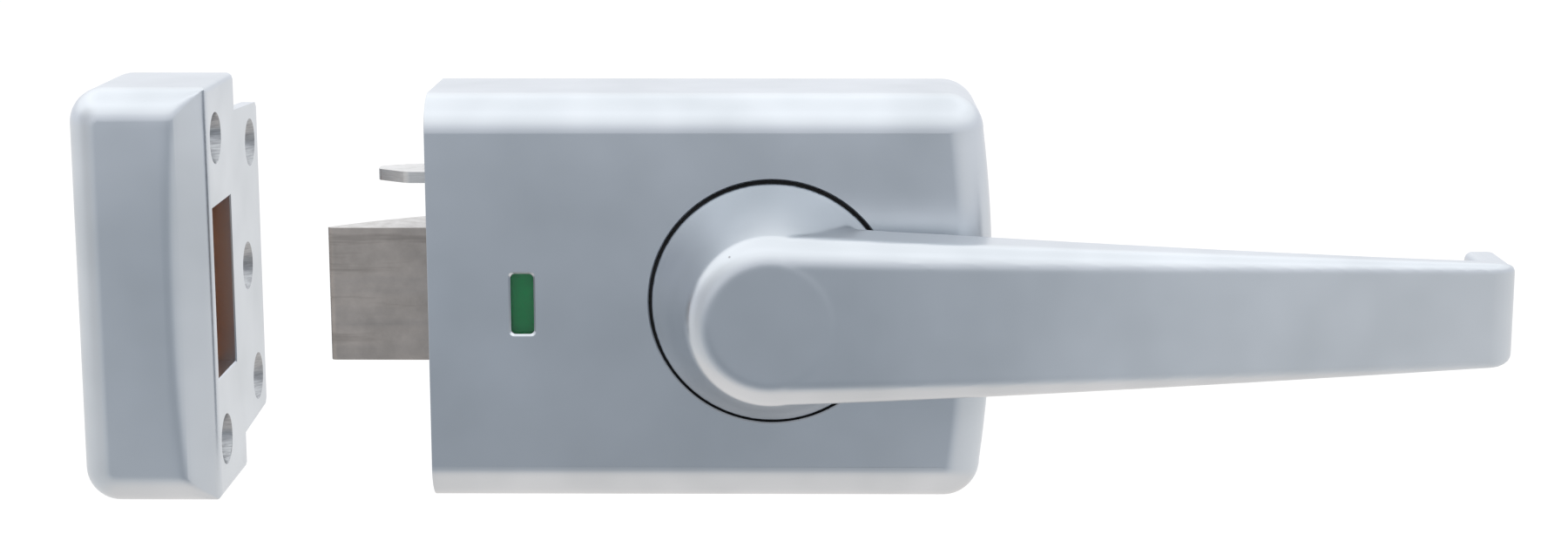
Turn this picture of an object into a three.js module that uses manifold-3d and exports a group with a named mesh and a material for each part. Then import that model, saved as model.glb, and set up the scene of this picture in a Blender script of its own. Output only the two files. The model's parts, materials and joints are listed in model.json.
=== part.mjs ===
// A surface mounted lever deadlatch and its separate strike, in millimetres.
// +X points from the strike to the lever's tip, +Y into the door, +Z up.
// The origin is the centre of the back plate's rear face, which lies on the door.
import * as THREE from 'three';
import { mergeVertices } from 'three/addons/utils/BufferGeometryUtils.js';
import Module from 'manifold-3d';

const wasm = await Module();
wasm.setup();

// Clearances and steps that all pieces share
const gap = 0.3;
const closeGap = gap / 3;
const overrun = 1;
const pinSides = 16;
const hubSides = 32;
const roseSides = 64;
const cornerSteps = 4;
const bowSteps = 8;
const neckSteps = 8;
const armSteps = 10;
const bendSteps = 4;
const bevelSteps = 6;
const windowSteps = 2;
const coilSides = 5;
const coilStepsPerTurn = 8;
const fullTurn = 2 * Math.PI;
const quarterTurn = Math.PI / 2;
const quarterTurnDegrees = 90;

// Case
const caseBackset = 60;
const caseAxisToRight = 38.7;
const caseHeight = 72;
const caseDepth = 27;
const caseWall = 2.5;
const caseEdgeRadius = 5.5;
const caseCornerRadius = 6.5;
const caseBow = 2.8;
const backPlateThickness = 2;
const guidePlateThickness = 1.6;

// Window and flags
const windowWidth = 4;
const windowHeight = 10.7;
const windowFromEdge = 16.45;
const windowDrop = 0.4;
const windowSill = 0.8;
const windowCorner = 0.5;
const lensMargin = 0.7;
const lensThickness = 1.2;
const flagThickness = 0.5;
const flagMargin = 0.3;

// Lever
const roseRadius = 21;
const roseGap = 0.5;
const roseRecess = 1.2;
const roseRise = 1.4;
const headRadius = 14.9;
const headRounding = 3.7;
const leverStandOff = 20;
const armLength = 126.9;
const armSweep = 8;
const armHeadHeight = 29.5;
const armTipHeight = 18.2;
const armHeadThickness = 20;
const armTipThickness = 4.5;
const armHeadRounding = 3.6;
const armTipRounding = 1.2;
const armSweepPower = 1.7;
const armThinningPower = 1.25;
const neckSlope = 18 * Math.PI / 180;
const neckFlarePower = 4;
const returnDepth = 19;
const returnBend = 3;
const hubRadius = 8;
const hubGrooveDepth = 1;
const bushWall = 2.2;
const bushLength = 3;
const bushFlangeWidth = 2.4;
const bushFlangeThickness = 1;
const ringWidth = 2.6;
const ringThickness = 1;
const spindleSize = 8;
const spindleInLever = 14;
const grubRadius = 2.2;
const grubOffset = 9;
const grubTurnDegrees = -45;

// Drive cam, turned by the lever
const camThickness = 4.9;
const camHubRadius = 11.5;
const camThrow = 18;
const leverSwing = 50 * Math.PI / 180;
const camFirstContact = 1;
const camFingerWidth = 6.5;
const camSteps = 8;
const camWeb = 1.5;
const camScrewHeadRadius = 3.7;
const camScrewHeadThickness = 0.7;
const camScrewRadius = 1.7;
const camScrewLength = 7;
const leverSpringWire = 0.8;
const leverSpringTurns = 1.25;
const leverSpringPitch = 1.3;

// Latch bolt and its tail
const boltThrow = 18.3;
const boltHeight = 23.8;
const boltThickness = 13.5;
const boltBehindFront = 7;
const boltTipFlat = 0.8;
const boltBevelLength = 17;
const boltBevelBulge = 1;
const boltInside = 24.35;
const boltMouthGap = 0.3;
const tailThickness = 2.5;
const tailBehindFront = 13.8;
const tailInBolt = 9;
const tailHalfHeight = 8.5;
const tailPastPin = 4;
const tailArmWidth = 7;
const drivePinRadius = 2;
const drivePinNeckShare = 0.6;
const drivePinLength = 4.6;
const rivetRadius = 1.6;
const rivetSpacing = 9;
const rivetInset = 4.5;
const strapWidth = 6;
const strapFromHead = 5;
const boltSpringLength = 39.5;
const strapFlangeHalfWidth = 5;

// Bolt spring and the rod it sits on
const rodRadius = 1.5;
const rodMargin = 1;
const lugThickness = 2.5;
const lugHalfWidth = 5;
const lugHalfHeight = 4.8;
const leftLugBeforeStrap = 14;
const boltSpringRadius = 3.4;
const boltSpringWire = 0.8;
const boltSpringTurns = 12;

// Trigger latch above the bolt
const triggerProjection = 9.8;
const triggerTravel = 9;
const triggerThickness = 2;
const triggerRise = 8.8;
const triggerBehindFront = 8;
const triggerWidth = 10;
const triggerTipFront = 3.8;
const triggerTipWidth = 3.4;
const triggerNoseLength = 5.4;
const triggerInside = 19.35;
const triggerRodRadius = 1.5;
const triggerRodBehindFront = 16;
const triggerRodLength = 25;
const triggerSpringLength = 21;
const triggerSpringRadius = 2.7;
const triggerSpringWire = 0.6;
const triggerSpringTurns = 9;
const wedgeDrop = 2.1;
const wedgeInset = 1;

// Deadlocking detent
const detentPinRadius = 1.5;
const detentPivotRise = 3.5;
const detentReach = 10;
const detentThickness = 3.5;
const detentBehindFront = 8.5;
const detentNoseDrop = 0.6;
const detentHubRadius = 2.9;
const detentNoseWidth = 3;
const detentSpringWire = 0.6;
const detentSpringTurns = 2.5;
const detentSpringPitch = 1.1;
const detentPinBehindFront = 4.6;

// Key cam and locking slide
const tailbarHoleRadius = 9;
const keyCamLip = 2;
const keyCamThickness = 3.6;
const keySlotWidth = 2.4;
const keySlotLength = 10;
const keyFingerReach = 13.2;
const keyFingerTip = 2;
const keyFingerNeck = 2;
const keySwing = 22.5 * Math.PI / 180;
const slideThickness = 1.4;
const slideArmWidth = 5;
const forkWall = 2.5;
const forkDepth = 3;
const forkBarHeight = 3;
const slidePinRadius = 1;
const slidePinHeadRadius = 2.2;
const slidePinHeadThickness = 0.8;
const slidePinFromWindow = 7.9;
const slidePinSpacing = 20;

// Screws and holes
const coverScrewRadius = 1.5;
const coverScrewHeadRadius = 3.7;
const coverScrewHeadDepth = 1.5;
const coverScrewLength = 13;
const coverPostRadius = 4;
const coverPostFromEdge = 5.85;
const coverPostFromBow = 7.85;
const coverPostFromTop = 5;
const fixingHoleRadius = 2.7;
const cylinderScrewSpacing = 32;
const doorHoleFromRight = 13.35;
const doorHoleRightHeight = 14;
const doorHoleFromLeft = 10.35;
const doorHoleLeftHeight = 17;

// Strike
const strikeDistance = 38.25;
const strikeWidth = 24;
const strikeHeight = 74;
const strikeDepth = 27;
const strikeEdgeRadius = 5.5;
const strikeCornerRadius = 6.2;
const strikeSideWall = 3.5;
const strikeWall = 3;
const strikePocketMargin = 1.7;
const strikeSlotHeight = 30.6;
const strikeSlotFront = 21;
const strikeSlotBack = 5.5;
const rampDrop = 4;
const rampMiddleWidth = 6.6;
const rampEndWidth = 4.4;
const rampSteps = 8;
const flangeThickness = 2.5;
const flangeDepth = 20.3;
const flangeHeight = 60.4;
const flangeTaper = 1;
const flangeCorner = 1;
const linerWall = 1.5;
const linerDepth = 14;
const boxHoleRadius = 4.6;
const boxHoleDepth = 15;
const boxHoleBack = 16.3;
const boxHoleHeight = 27.3;
const screwHoleRadius = 2.6;
const flangeHoleRadius = 4.45;
const flangeHoleOuterY = 13.3;
const flangeHoleOuterHeight = 22.4;
const flangeHoleMiddleY = 7.5;

// Places worked out from the sizes
const caseWidth = caseBackset + caseAxisToRight;
const caseRight = caseWidth / 2;
const caseLeft = -caseRight;
const axisX = caseLeft + caseBackset;
const frontInside = -caseDepth + caseWall;
const plateFront = -backPlateThickness;
const recessFloor = -caseDepth + roseRecess;
const roseBack = recessFloor - gap;
const bushBack = recessFloor + bushLength;
const ringFront = bushBack + gap;
const ringBack = ringFront + ringThickness;
const bushRadius = hubRadius + gap + bushWall;
const tailFront = caseDepth - tailBehindFront;
const camBack = -tailFront - gap;
const camFront = camBack - camThickness;
const hubBack = camFront - gap;
const headFront = -caseDepth - leverStandOff;
const spindleFront = -caseDepth - spindleInLever;
const camBase = camThrow / leverSwing;
const drivePinX = axisX + camFirstContact + gap + drivePinRadius;
const drivePinZ = camBase;
const slideTravel = keyFingerReach * Math.sin(keySwing);
const windowX = caseLeft + windowFromEdge;
const windowZ = -windowDrop;
const boltFront = caseDepth - boltBehindFront;
const boltBack = -boltFront + boltThickness;
const boltInnerEnd = caseLeft + boltInside;
const tailBack = -tailFront + tailThickness;
const rodY = (-tailFront + tailBack) / 2;
const strapLeft = boltInnerEnd + strapFromHead;
const rightLugX = strapLeft + lugThickness + boltSpringLength;
const leftLugX = strapLeft - leftLugBeforeStrap;
const slideArmDrop = keyFingerReach + keyFingerTip + gap + slideArmWidth / 2;
const rodDrop = slideArmDrop + slideArmWidth / 2 + gap + lugHalfHeight;
const triggerHeight = boltHeight / 2 + triggerRise;
const triggerFront = caseDepth - triggerBehindFront;
const triggerRodBack = caseDepth - triggerRodBehindFront;
const triggerInner = caseLeft + triggerInside;
const triggerLugX = triggerInner + triggerSpringLength;
const detentPivotX = triggerInner - wedgeInset + detentReach;
const detentPivotZ = boltHeight / 2 + detentPivotRise;
const detentFront = caseDepth - detentBehindFront;
const detentPinFront = caseDepth - detentPinBehindFront;
const keyCamRadius = tailbarHoleRadius + keyCamLip;
const coverPostLeft = caseLeft + caseWall + coverPostFromEdge;
const coverPostRight = caseRight - caseWall - coverPostFromBow;
const coverPostHeight = caseHeight / 2 - caseWall - coverPostFromTop;
const doorHoleRight = caseRight - doorHoleFromRight;
const doorHoleLeft = caseLeft + doorHoleFromLeft;
const strikePocketHeight = strikeSlotHeight + 2 * (linerWall + strikePocketMargin);
const firstSlidePin = windowX + slidePinFromWindow;
const slidePinPlaces = [firstSlidePin, firstSlidePin + slidePinSpacing];
const strikeFace = caseLeft - strikeDistance;

// Materials, with the colours seen in the photograph
function finish(color, roughness, metalness) {
  return new THREE.MeshStandardMaterial({ color, roughness, metalness });
}

const satinChrome = finish('#a7afb8', 0.38, 0.9);
const warmSteel = finish('#908b86', 0.45, 0.85);
const paleSteel = finish('#c6c9cc', 0.35, 0.85);
const zincPlate = finish('#9ea2a6', 0.5, 0.8);
const springSteel = finish('#6e7276', 0.4, 0.9);
const brass = finish('#b79a58', 0.4, 0.85);
const greenEnamel = finish('#206c46', 0.5, 0);
const redEnamel = finish('#a8322a', 0.5, 0);
const clearLens = finish('#dfe8e4', 0.1, 0);
const whiteNylon = finish('#e6e4dc', 0.6, 0);
const brownPlastic = finish('#6b4634', 0.6, 0);

// Solids: a closed mesh becomes a solid, and a solid becomes a mesh again
function toSolid(geometry) {
  const bare = geometry.clone();
  bare.deleteAttribute('normal');
  bare.deleteAttribute('uv');
  const merged = mergeVertices(bare, 1e-4);
  return new wasm.Manifold(new wasm.Mesh({
    numProp: 3,
    vertProperties: new Float32Array(merged.attributes.position.array),
    triVerts: new Uint32Array(merged.index.array),
  }));
}

function toGeometry(solid) {
  const mesh = solid.getMesh();
  const geometry = new THREE.BufferGeometry();
  geometry.setAttribute('position', new THREE.BufferAttribute(mesh.vertProperties, 3));
  geometry.setIndex(new THREE.BufferAttribute(mesh.triVerts, 1));
  geometry.computeVertexNormals();
  return geometry;
}

function join(first, ...others) {
  return others.reduce((whole, other) => whole.add(other), first);
}

function cut(first, ...others) {
  return others.reduce((whole, other) => whole.subtract(other), first);
}

// Prisms along each axis, from an outline and its two ends
const alongX = new THREE.Matrix4().makeBasis(
  new THREE.Vector3(0, 1, 0), new THREE.Vector3(0, 0, 1), new THREE.Vector3(1, 0, 0));
const alongY = new THREE.Matrix4().makeBasis(
  new THREE.Vector3(1, 0, 0), new THREE.Vector3(0, 0, 1), new THREE.Vector3(0, -1, 0));
const alongZ = new THREE.Matrix4();

function prism(shape, axes, length, steps) {
  const settings = { depth: length, bevelEnabled: false, curveSegments: steps };
  return new THREE.ExtrudeGeometry(shape, settings).applyMatrix4(axes);
}

// An outline in X and Z between two depths
function plateXZ(shape, front, back, steps = pinSides) {
  return toSolid(prism(shape, alongY, back - front, steps).translate(0, back, 0));
}

// An outline in Y and Z between two places along X
function plateYZ(shape, left, right, steps = pinSides) {
  return toSolid(prism(shape, alongX, right - left, steps).translate(left, 0, 0));
}

// An outline in X and Y between two heights
function plateXY(shape, low, high, steps = pinSides) {
  return toSolid(prism(shape, alongZ, high - low, steps).translate(0, 0, low));
}

function polygon(points) {
  return new THREE.Shape(points.map(([across, up]) => new THREE.Vector2(across, up)));
}

function rectangle(left, right, low, high) {
  return polygon([[left, low], [right, low], [right, high], [left, high]]);
}

function roundedRectangle(left, right, low, high, radius) {
  const shape = new THREE.Shape();
  shape.moveTo(left + radius, low);
  shape.lineTo(right - radius, low);
  shape.absarc(right - radius, low + radius, radius, -quarterTurn, 0);
  shape.lineTo(right, high - radius);
  shape.absarc(right - radius, high - radius, radius, 0, quarterTurn);
  shape.lineTo(left + radius, high);
  shape.absarc(left + radius, high - radius, radius, quarterTurn, 2 * quarterTurn);
  shape.lineTo(left, low + radius);
  shape.absarc(left + radius, low + radius, radius, 2 * quarterTurn, 3 * quarterTurn);
  return shape;
}

function circle(across, up, radius, sides = pinSides) {
  const points = [];
  for (let side = 0; side < sides; side += 1) {
    const angle = fullTurn * (side + 0.5) / sides;
    points.push([across + radius * Math.cos(angle), up + radius * Math.sin(angle)]);
  }
  return polygon(points);
}

function block(left, right, front, back, low, high) {
  return plateXY(rectangle(left, right, front, back), low, high);
}

// A round bar along Y, X or Z
function barY(x, z, radius, front, back, sides = pinSides) {
  return plateXZ(circle(x, z, radius, sides), front, back);
}

function barX(y, z, radius, left, right, sides = pinSides) {
  return plateYZ(circle(y, z, radius, sides), left, right);
}

function barZ(x, y, radius, low, high, sides = pinSides) {
  return plateXY(circle(x, y, radius, sides), low, high);
}

// A turned shape about the Y axis, from pairs of radius and depth
function turnedY(profile, sides) {
  const points = profile.map(([radius, depth]) => new THREE.Vector2(radius, depth));
  return toSolid(new THREE.LatheGeometry(points, sides).rotateY(fullTurn / sides / 2));
}

// A closed skin over a row of rings with the same number of points
function loft(rings) {
  const count = rings[0].length;
  const positions = rings.flat().flatMap((point) => point.toArray());
  const index = [];
  for (let ring = 0; ring < rings.length - 1; ring += 1) {
    for (let side = 0; side < count; side += 1) {
      const here = ring * count + side;
      const beside = ring * count + (side + 1) % count;
      index.push(here, beside, beside + count, here, beside + count, here + count);
    }
  }
  [0, rings.length - 1].forEach((ring) => {
    const middle = new THREE.Vector3();
    rings[ring].forEach((point) => middle.add(point));
    middle.divideScalar(count);
    const centre = positions.length / 3;
    positions.push(...middle.toArray());
    for (let side = 0; side < count; side += 1) {
      const here = ring * count + side;
      const beside = ring * count + (side + 1) % count;
      index.push(...(ring === 0 ? [centre, beside, here] : [centre, here, beside]));
    }
  });
  const geometry = new THREE.BufferGeometry();
  geometry.setAttribute('position', new THREE.Float32BufferAttribute(positions, 3));
  geometry.setIndex(index);
  const solid = toSolid(geometry);
  return solid.volume() > 0 ? solid : toSolid(turnedInsideOut(geometry));
}

function turnedInsideOut(geometry) {
  const flipped = geometry.clone();
  const corners = flipped.index.array;
  for (let corner = 0; corner < corners.length; corner += 3) {
    [corners[corner], corners[corner + 1]] = [corners[corner + 1], corners[corner]];
  }
  return flipped;
}

// A coil about the X axis that starts at zero and ends at its length
function coil(radius, wire, length, turns) {
  const steps = Math.round(turns * coilStepsPerTurn);
  const climb = length - wire;
  const rings = [];
  const centres = [];
  for (let step = 0; step <= steps; step += 1) {
    const angle = fullTurn * step / coilStepsPerTurn;
    const outward = new THREE.Vector3(0, Math.cos(angle), Math.sin(angle));
    const centre = outward.clone().multiplyScalar(radius);
    centre.x = wire / 2 + climb * step / steps;
    const along = new THREE.Vector3(climb / (turns * fullTurn * radius), -outward.z, outward.y);
    const across = new THREE.Vector3().crossVectors(along.normalize(), outward);
    const ring = [];
    for (let side = 0; side < coilSides; side += 1) {
      const spin = fullTurn * side / coilSides;
      const reach = outward.clone().multiplyScalar(Math.cos(spin) * wire / 2);
      ring.push(reach.addScaledVector(across, Math.sin(spin) * wire / 2).add(centre));
    }
    rings.push(ring);
    centres.push(centre);
  }
  reportLeastGap(centres, wire);
  return loft(rings);
}

// The least gap between one turn of a coil and the next, measured on its points
function reportLeastGap(centres, wire) {
  let least = Infinity;
  centres.forEach((centre, place) => {
    const away = place + Math.ceil(coilStepsPerTurn / 2);
    centres.slice(away).forEach((other) => {
      least = Math.min(least, centre.distanceTo(other) - wire);
    });
  });
  console.log('coil turns apart by', least.toFixed(2), 'mm');
}

// Each finished piece is a named mesh in its group
function place(group, name, solid, material) {
  const mesh = new THREE.Mesh(toGeometry(solid), material);
  mesh.name = name;
  group.add(mesh);
  return mesh;
}

// The case's front outline, drawn in by an inset all round but at the flat left edge
function caseRing(inset, leftInset, depth) {
  const halfHeight = caseHeight / 2 - inset;
  const corner = Math.max(caseCornerRadius - inset, gap);
  const straight = halfHeight - corner;
  const bowAt = (height) => caseBow * (height / (caseHeight / 2)) ** 2;
  const right = caseRight - inset;
  const cornerX = right - bowAt(straight) - corner;
  const ring = [[caseLeft + leftInset, halfHeight], [caseLeft + leftInset, -halfHeight]];
  for (let step = 0; step <= cornerSteps; step += 1) {
    const angle = quarterTurn * (step / cornerSteps - 1);
    ring.push([cornerX + corner * Math.cos(angle), -straight + corner * Math.sin(angle)]);
  }
  for (let step = 1; step < bowSteps; step += 1) {
    const height = straight * (2 * step / bowSteps - 1);
    ring.push([right - bowAt(height), height]);
  }
  for (let step = 0; step <= cornerSteps; step += 1) {
    const angle = quarterTurn * step / cornerSteps;
    ring.push([cornerX + corner * Math.cos(angle), straight + corner * Math.sin(angle)]);
  }
  return ring.map(([x, z]) => new THREE.Vector3(x, depth, z));
}

function caseBlank() {
  const rings = [];
  for (let step = 0; step <= cornerSteps; step += 1) {
    const angle = quarterTurn * step / cornerSteps;
    const inset = caseEdgeRadius * (1 - Math.sin(angle));
    const depth = -caseDepth + caseEdgeRadius * (1 - Math.cos(angle));
    rings.push(caseRing(inset, 0, depth));
  }
  rings.push(caseRing(0, 0, 0));
  return loft(rings);
}

function caseCavity() {
  return loft([
    caseRing(caseWall, caseWall, frontInside),
    caseRing(caseWall, caseWall, overrun),
  ]);
}

function coverPosts() {
  return [coverPostLeft, coverPostRight].flatMap(
    (x) => [-coverPostHeight, coverPostHeight].map((z) => [x, z]));
}

function coverPost([x, z]) {
  const post = barY(x, z, coverPostRadius, frontInside - caseWall / 2, plateFront - gap, hubSides);
  const hole = barY(x, z, coverScrewRadius + gap, -coverScrewLength - overrun, overrun);
  return cut(post, hole);
}

function boltMouth(left, right) {
  const margin = boltMouthGap;
  return block(left, right, -boltFront - margin, boltBack + margin,
    -boltHeight / 2 - margin, boltHeight / 2 + margin);
}

function triggerMouth(left, right) {
  const middle = triggerHeight;
  return block(left, right, -triggerFront - gap, -triggerFront + triggerWidth + gap,
    middle - triggerThickness / 2 - gap, middle + triggerThickness / 2 + gap);
}

function windowShape(margin, corner) {
  const halfWidth = windowWidth / 2 + margin;
  const halfHeight = windowHeight / 2 + margin;
  return roundedRectangle(windowX - halfWidth, windowX + halfWidth,
    windowZ - halfHeight, windowZ + halfHeight, corner);
}

function caseCover() {
  const boreRadius = roseRadius + roseGap;
  const sillBack = -caseDepth + windowSill;
  const shell = cut(
    caseBlank(),
    caseCavity(),
    boltMouth(caseLeft - overrun, caseLeft + caseWall + overrun),
    triggerMouth(caseLeft - overrun, caseLeft + caseWall + overrun),
    barY(axisX, 0, boreRadius, -caseDepth - overrun, recessFloor, roseSides),
    barY(axisX, 0, bushRadius + gap, -caseDepth, frontInside + overrun, hubSides),
    plateXZ(windowShape(0, windowCorner), -caseDepth - overrun, frontInside + overrun,
      windowSteps),
    plateXZ(windowShape(lensMargin + gap, windowCorner), sillBack, frontInside + overrun,
      windowSteps),
  );
  return join(shell, ...coverPosts().map(coverPost));
}

function windowLens() {
  const front = -caseDepth + windowSill + closeGap;
  return plateXZ(windowShape(lensMargin, windowCorner), front, front + lensThickness, windowSteps);
}

// The back plate closes the case and carries the lugs, the detent pin and the key cam
function backPlate() {
  const sheet = loft([
    caseRing(caseWall + gap, caseWall + gap, plateFront),
    caseRing(caseWall + gap, caseWall + gap, 0),
  ]);
  const openings = [barY(axisX, 0, tailbarHoleRadius, plateFront - overrun, overrun, hubSides)];
  const fixings = [
    [axisX, cylinderScrewSpacing / 2], [axisX, -cylinderScrewSpacing / 2],
    [doorHoleRight, doorHoleRightHeight], [doorHoleRight, -doorHoleRightHeight],
    [doorHoleLeft, doorHoleLeftHeight], [doorHoleLeft, -doorHoleLeftHeight],
  ];
  fixings.forEach(([x, z]) => {
    openings.push(barY(x, z, fixingHoleRadius, plateFront - overrun, overrun));
  });
  coverPosts().forEach(([x, z]) => {
    openings.push(coverScrewHole(x, z));
  });
  openings.push(barY(detentPivotX, detentPivotZ, detentPinRadius + gap,
    plateFront - overrun, overrun));
  return join(cut(sheet, ...openings), rodLug(leftLugX), rodLug(rightLugX), triggerLug());
}

function rodLug(left) {
  const lug = block(left, left + lugThickness, rodY - lugHalfWidth, plateFront / 2,
    -rodDrop - lugHalfHeight, -rodDrop + lugHalfHeight);
  return cut(lug, barX(rodY, -rodDrop, rodRadius + gap,
    left - overrun, left + lugThickness + overrun));
}

function triggerLug() {
  const front = -triggerRodBack - triggerRodRadius - lugThickness;
  const half = triggerRodRadius + lugThickness;
  const right = triggerLugX + lugThickness;
  const lug = block(triggerLugX, right, front, plateFront / 2,
    triggerHeight - half, triggerHeight + half);
  return cut(lug, barX(-triggerRodBack, triggerHeight, triggerRodRadius + gap,
    triggerLugX - overrun, right + overrun));
}

// A countersunk screw and the hole that it sits in
function screwProfile(shank, head, headDepth, length, flush) {
  return [[0, -length], [shank, -length], [shank, -flush - headDepth], [head, -flush], [0, -flush]];
}

function coverScrew(x, z) {
  const profile = screwProfile(
    coverScrewRadius, coverScrewHeadRadius, coverScrewHeadDepth, coverScrewLength, closeGap);
  return turnedY(profile, pinSides).translate([x, 0, z]);
}

function coverScrewHole(x, z) {
  const shank = coverScrewRadius + gap;
  const head = coverScrewHeadRadius + gap;
  const profile = [
    [0, plateFront - overrun], [shank, plateFront - overrun], [shank, -coverScrewHeadDepth],
    [head, 0], [head, overrun], [0, overrun],
  ];
  return turnedY(profile, pinSides).translate([x, 0, z]);
}

// The guide plate lines the inside of the flat edge and steadies the bolt and the trigger
function boltGuidePlate() {
  const left = caseLeft + caseWall + gap;
  const right = left + guidePlateThickness;
  const halfHeight = coverPostHeight - coverPostRadius - gap;
  const sheet = block(left, right, frontInside + gap, plateFront - gap, -halfHeight, halfHeight);
  return cut(sheet, boltMouth(left - overrun, right + overrun),
    triggerMouth(left - overrun, right + overrun));
}

// The lever: a round rose, a flared neck, a round head and a long arm with a turned back end
function leverNeckProfile() {
  const neckBack = -caseDepth - roseRise;
  const neckFront = headFront + headRounding * (1 - Math.sin(neckSlope));
  const neckEnd = headRadius - headRounding * (1 - Math.cos(neckSlope));
  const straight = Math.tan(neckSlope) * (neckBack - neckFront);
  const flare = roseRadius - neckEnd - straight;
  const profile = [[0, roseBack], [roseRadius, roseBack]];
  for (let step = 0; step <= neckSteps; step += 1) {
    const share = step / neckSteps;
    const radius = neckEnd + straight * (1 - share) + flare * (1 - share) ** neckFlarePower;
    profile.push([radius, neckBack + (neckFront - neckBack) * share]);
  }
  for (let step = 1; step <= cornerSteps; step += 1) {
    const angle = neckSlope + (quarterTurn - neckSlope) * step / cornerSteps;
    profile.push([
      headRadius - headRounding * (1 - Math.cos(angle)),
      headFront + headRounding * (1 - Math.sin(angle)),
    ]);
  }
  profile.push([0, headFront]);
  return profile.reverse();
}

// Centres, heights and thicknesses along the arm, then round the bend and down the return
function armStations() {
  const stations = [];
  const bendX = armLength - armTipThickness / 2 - returnBend;
  for (let step = 0; step <= armSteps; step += 1) {
    const share = step / armSteps;
    const thinning = (armHeadThickness - armTipThickness) * (1 - share) ** armThinningPower;
    const thickness = armTipThickness + thinning;
    const front = headFront + armSweep * share ** armSweepPower;
    stations.push({ x: bendX * share, y: front + thickness / 2, thickness, share });
  }
  const bendY = headFront + armSweep + armTipThickness / 2 + returnBend;
  for (let step = 1; step <= bendSteps; step += 1) {
    const angle = quarterTurn * step / bendSteps;
    stations.push({
      x: bendX + returnBend * Math.sin(angle),
      y: bendY - returnBend * Math.cos(angle),
      thickness: armTipThickness,
      share: 1,
    });
  }
  const returnEnd = headFront + armSweep + returnDepth;
  const endX = bendX + returnBend;
  stations.push({ x: endX, y: returnEnd - armTipRounding, thickness: armTipThickness, share: 1 });
  stations.push({ x: endX, y: returnEnd, thickness: armTipThickness - armTipRounding, share: 1 });
  return stations;
}

function armSection(station, direction) {
  const { thickness, share } = station;
  const height = armTipHeight + (armHeadHeight - armTipHeight) * (1 - share);
  const rounding = armHeadRounding + (armTipRounding - armHeadRounding) * share;
  const inward = new THREE.Vector3(-direction.y, direction.x, 0);
  const halfThickness = thickness / 2 - rounding;
  const halfHeight = height / 2 - rounding;
  const ring = [];
  [[1, 1], [-1, 1], [-1, -1], [1, -1]].forEach(([across, up], corner) => {
    for (let step = 0; step <= cornerSteps; step += 1) {
      const angle = quarterTurn * (corner + step / cornerSteps);
      const out = across * halfThickness + rounding * Math.cos(angle);
      const rise = up * halfHeight + rounding * Math.sin(angle);
      const point = new THREE.Vector3(station.x, station.y, rise);
      ring.push(point.addScaledVector(inward, out));
    }
  });
  return ring;
}

function leverArm() {
  const stations = armStations();
  const last = stations.length - 1;
  return loft(stations.map((station, order) => {
    const before = stations[Math.max(order - 1, 0)];
    const after = stations[Math.min(order + 1, last)];
    const direction = new THREE.Vector3(after.x - before.x, after.y - before.y, 0).normalize();
    return armSection(station, direction);
  }));
}

function leverHandle() {
  const neck = turnedY(leverNeckProfile(), roseSides);
  const hub = barY(0, 0, hubRadius, roseBack - overrun, hubBack, hubSides);
  const groove = cut(
    barY(0, 0, hubRadius + overrun, ringFront - gap, ringBack + gap, hubSides),
    barY(0, 0, hubRadius - hubGrooveDepth, ringFront - overrun, ringBack + overrun, hubSides),
  );
  const socket = plateXZ(spindleSquare(gap), spindleFront - gap, hubBack + overrun);
  const grubHole = turnedToFlat(
    barZ(0, grubPlace(), grubRadius + gap, -roseRadius - grubRadius, 0));
  return cut(join(neck, hub, leverArm()), groove, socket, grubHole);
}

// The spindle's square stands on a corner, so that the grub screw comes in under the arm
function spindleSquare(margin) {
  const reach = (spindleSize / 2 + margin) * Math.SQRT2;
  return polygon([[reach, 0], [0, reach], [-reach, 0], [0, -reach]]);
}

function turnedToFlat(solid) {
  return solid.rotate([0, grubTurnDegrees, 0]);
}

function grubPlace() {
  return -caseDepth - grubOffset;
}

function grubScrew() {
  return turnedToFlat(
    barZ(0, grubPlace(), grubRadius, -headRadius + overrun, -spindleSize / 2 - gap));
}

function leverSpindle() {
  const back = camBack - camWeb - gap;
  const bar = plateXZ(spindleSquare(0), spindleFront, back);
  return cut(bar, barY(0, 0, camScrewRadius + gap,
    camBack - camScrewLength - overrun, back + overrun));
}

function leverBush() {
  const inner = hubRadius + gap;
  const flangeFront = frontInside + gap;
  const flangeRadius = bushRadius + bushFlangeWidth;
  return cut(
    join(
      barY(0, 0, bushRadius, recessFloor, bushBack, hubSides),
      barY(0, 0, flangeRadius, flangeFront, flangeFront + bushFlangeThickness, hubSides),
    ),
    barY(0, 0, inner, recessFloor - overrun, bushBack + overrun, hubSides),
  );
}

// A snap ring with an open side, in the groove of the lever's hub
function retainingRing() {
  const inner = hubRadius - hubGrooveDepth + gap;
  const outer = inner + ringWidth;
  const mouth = inner / 2;
  return cut(
    barY(0, 0, outer, ringFront, ringBack, hubSides),
    barY(0, 0, inner, ringFront - overrun, ringBack + overrun, hubSides),
    block(-mouth, mouth, ringFront - overrun, ringBack + overrun, -outer - overrun, 0),
  );
}

// A torsion spring round the hub, between the snap ring and the cam
function leverSpring() {
  const radius = hubRadius + gap + leverSpringWire / 2 + gap;
  const length = leverSpringTurns * leverSpringPitch + leverSpringWire;
  const start = ringBack + gap;
  return coil(radius, leverSpringWire, length, leverSpringTurns)
    .rotate([0, 0, quarterTurnDegrees]).translate([0, start, 0]);
}

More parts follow.
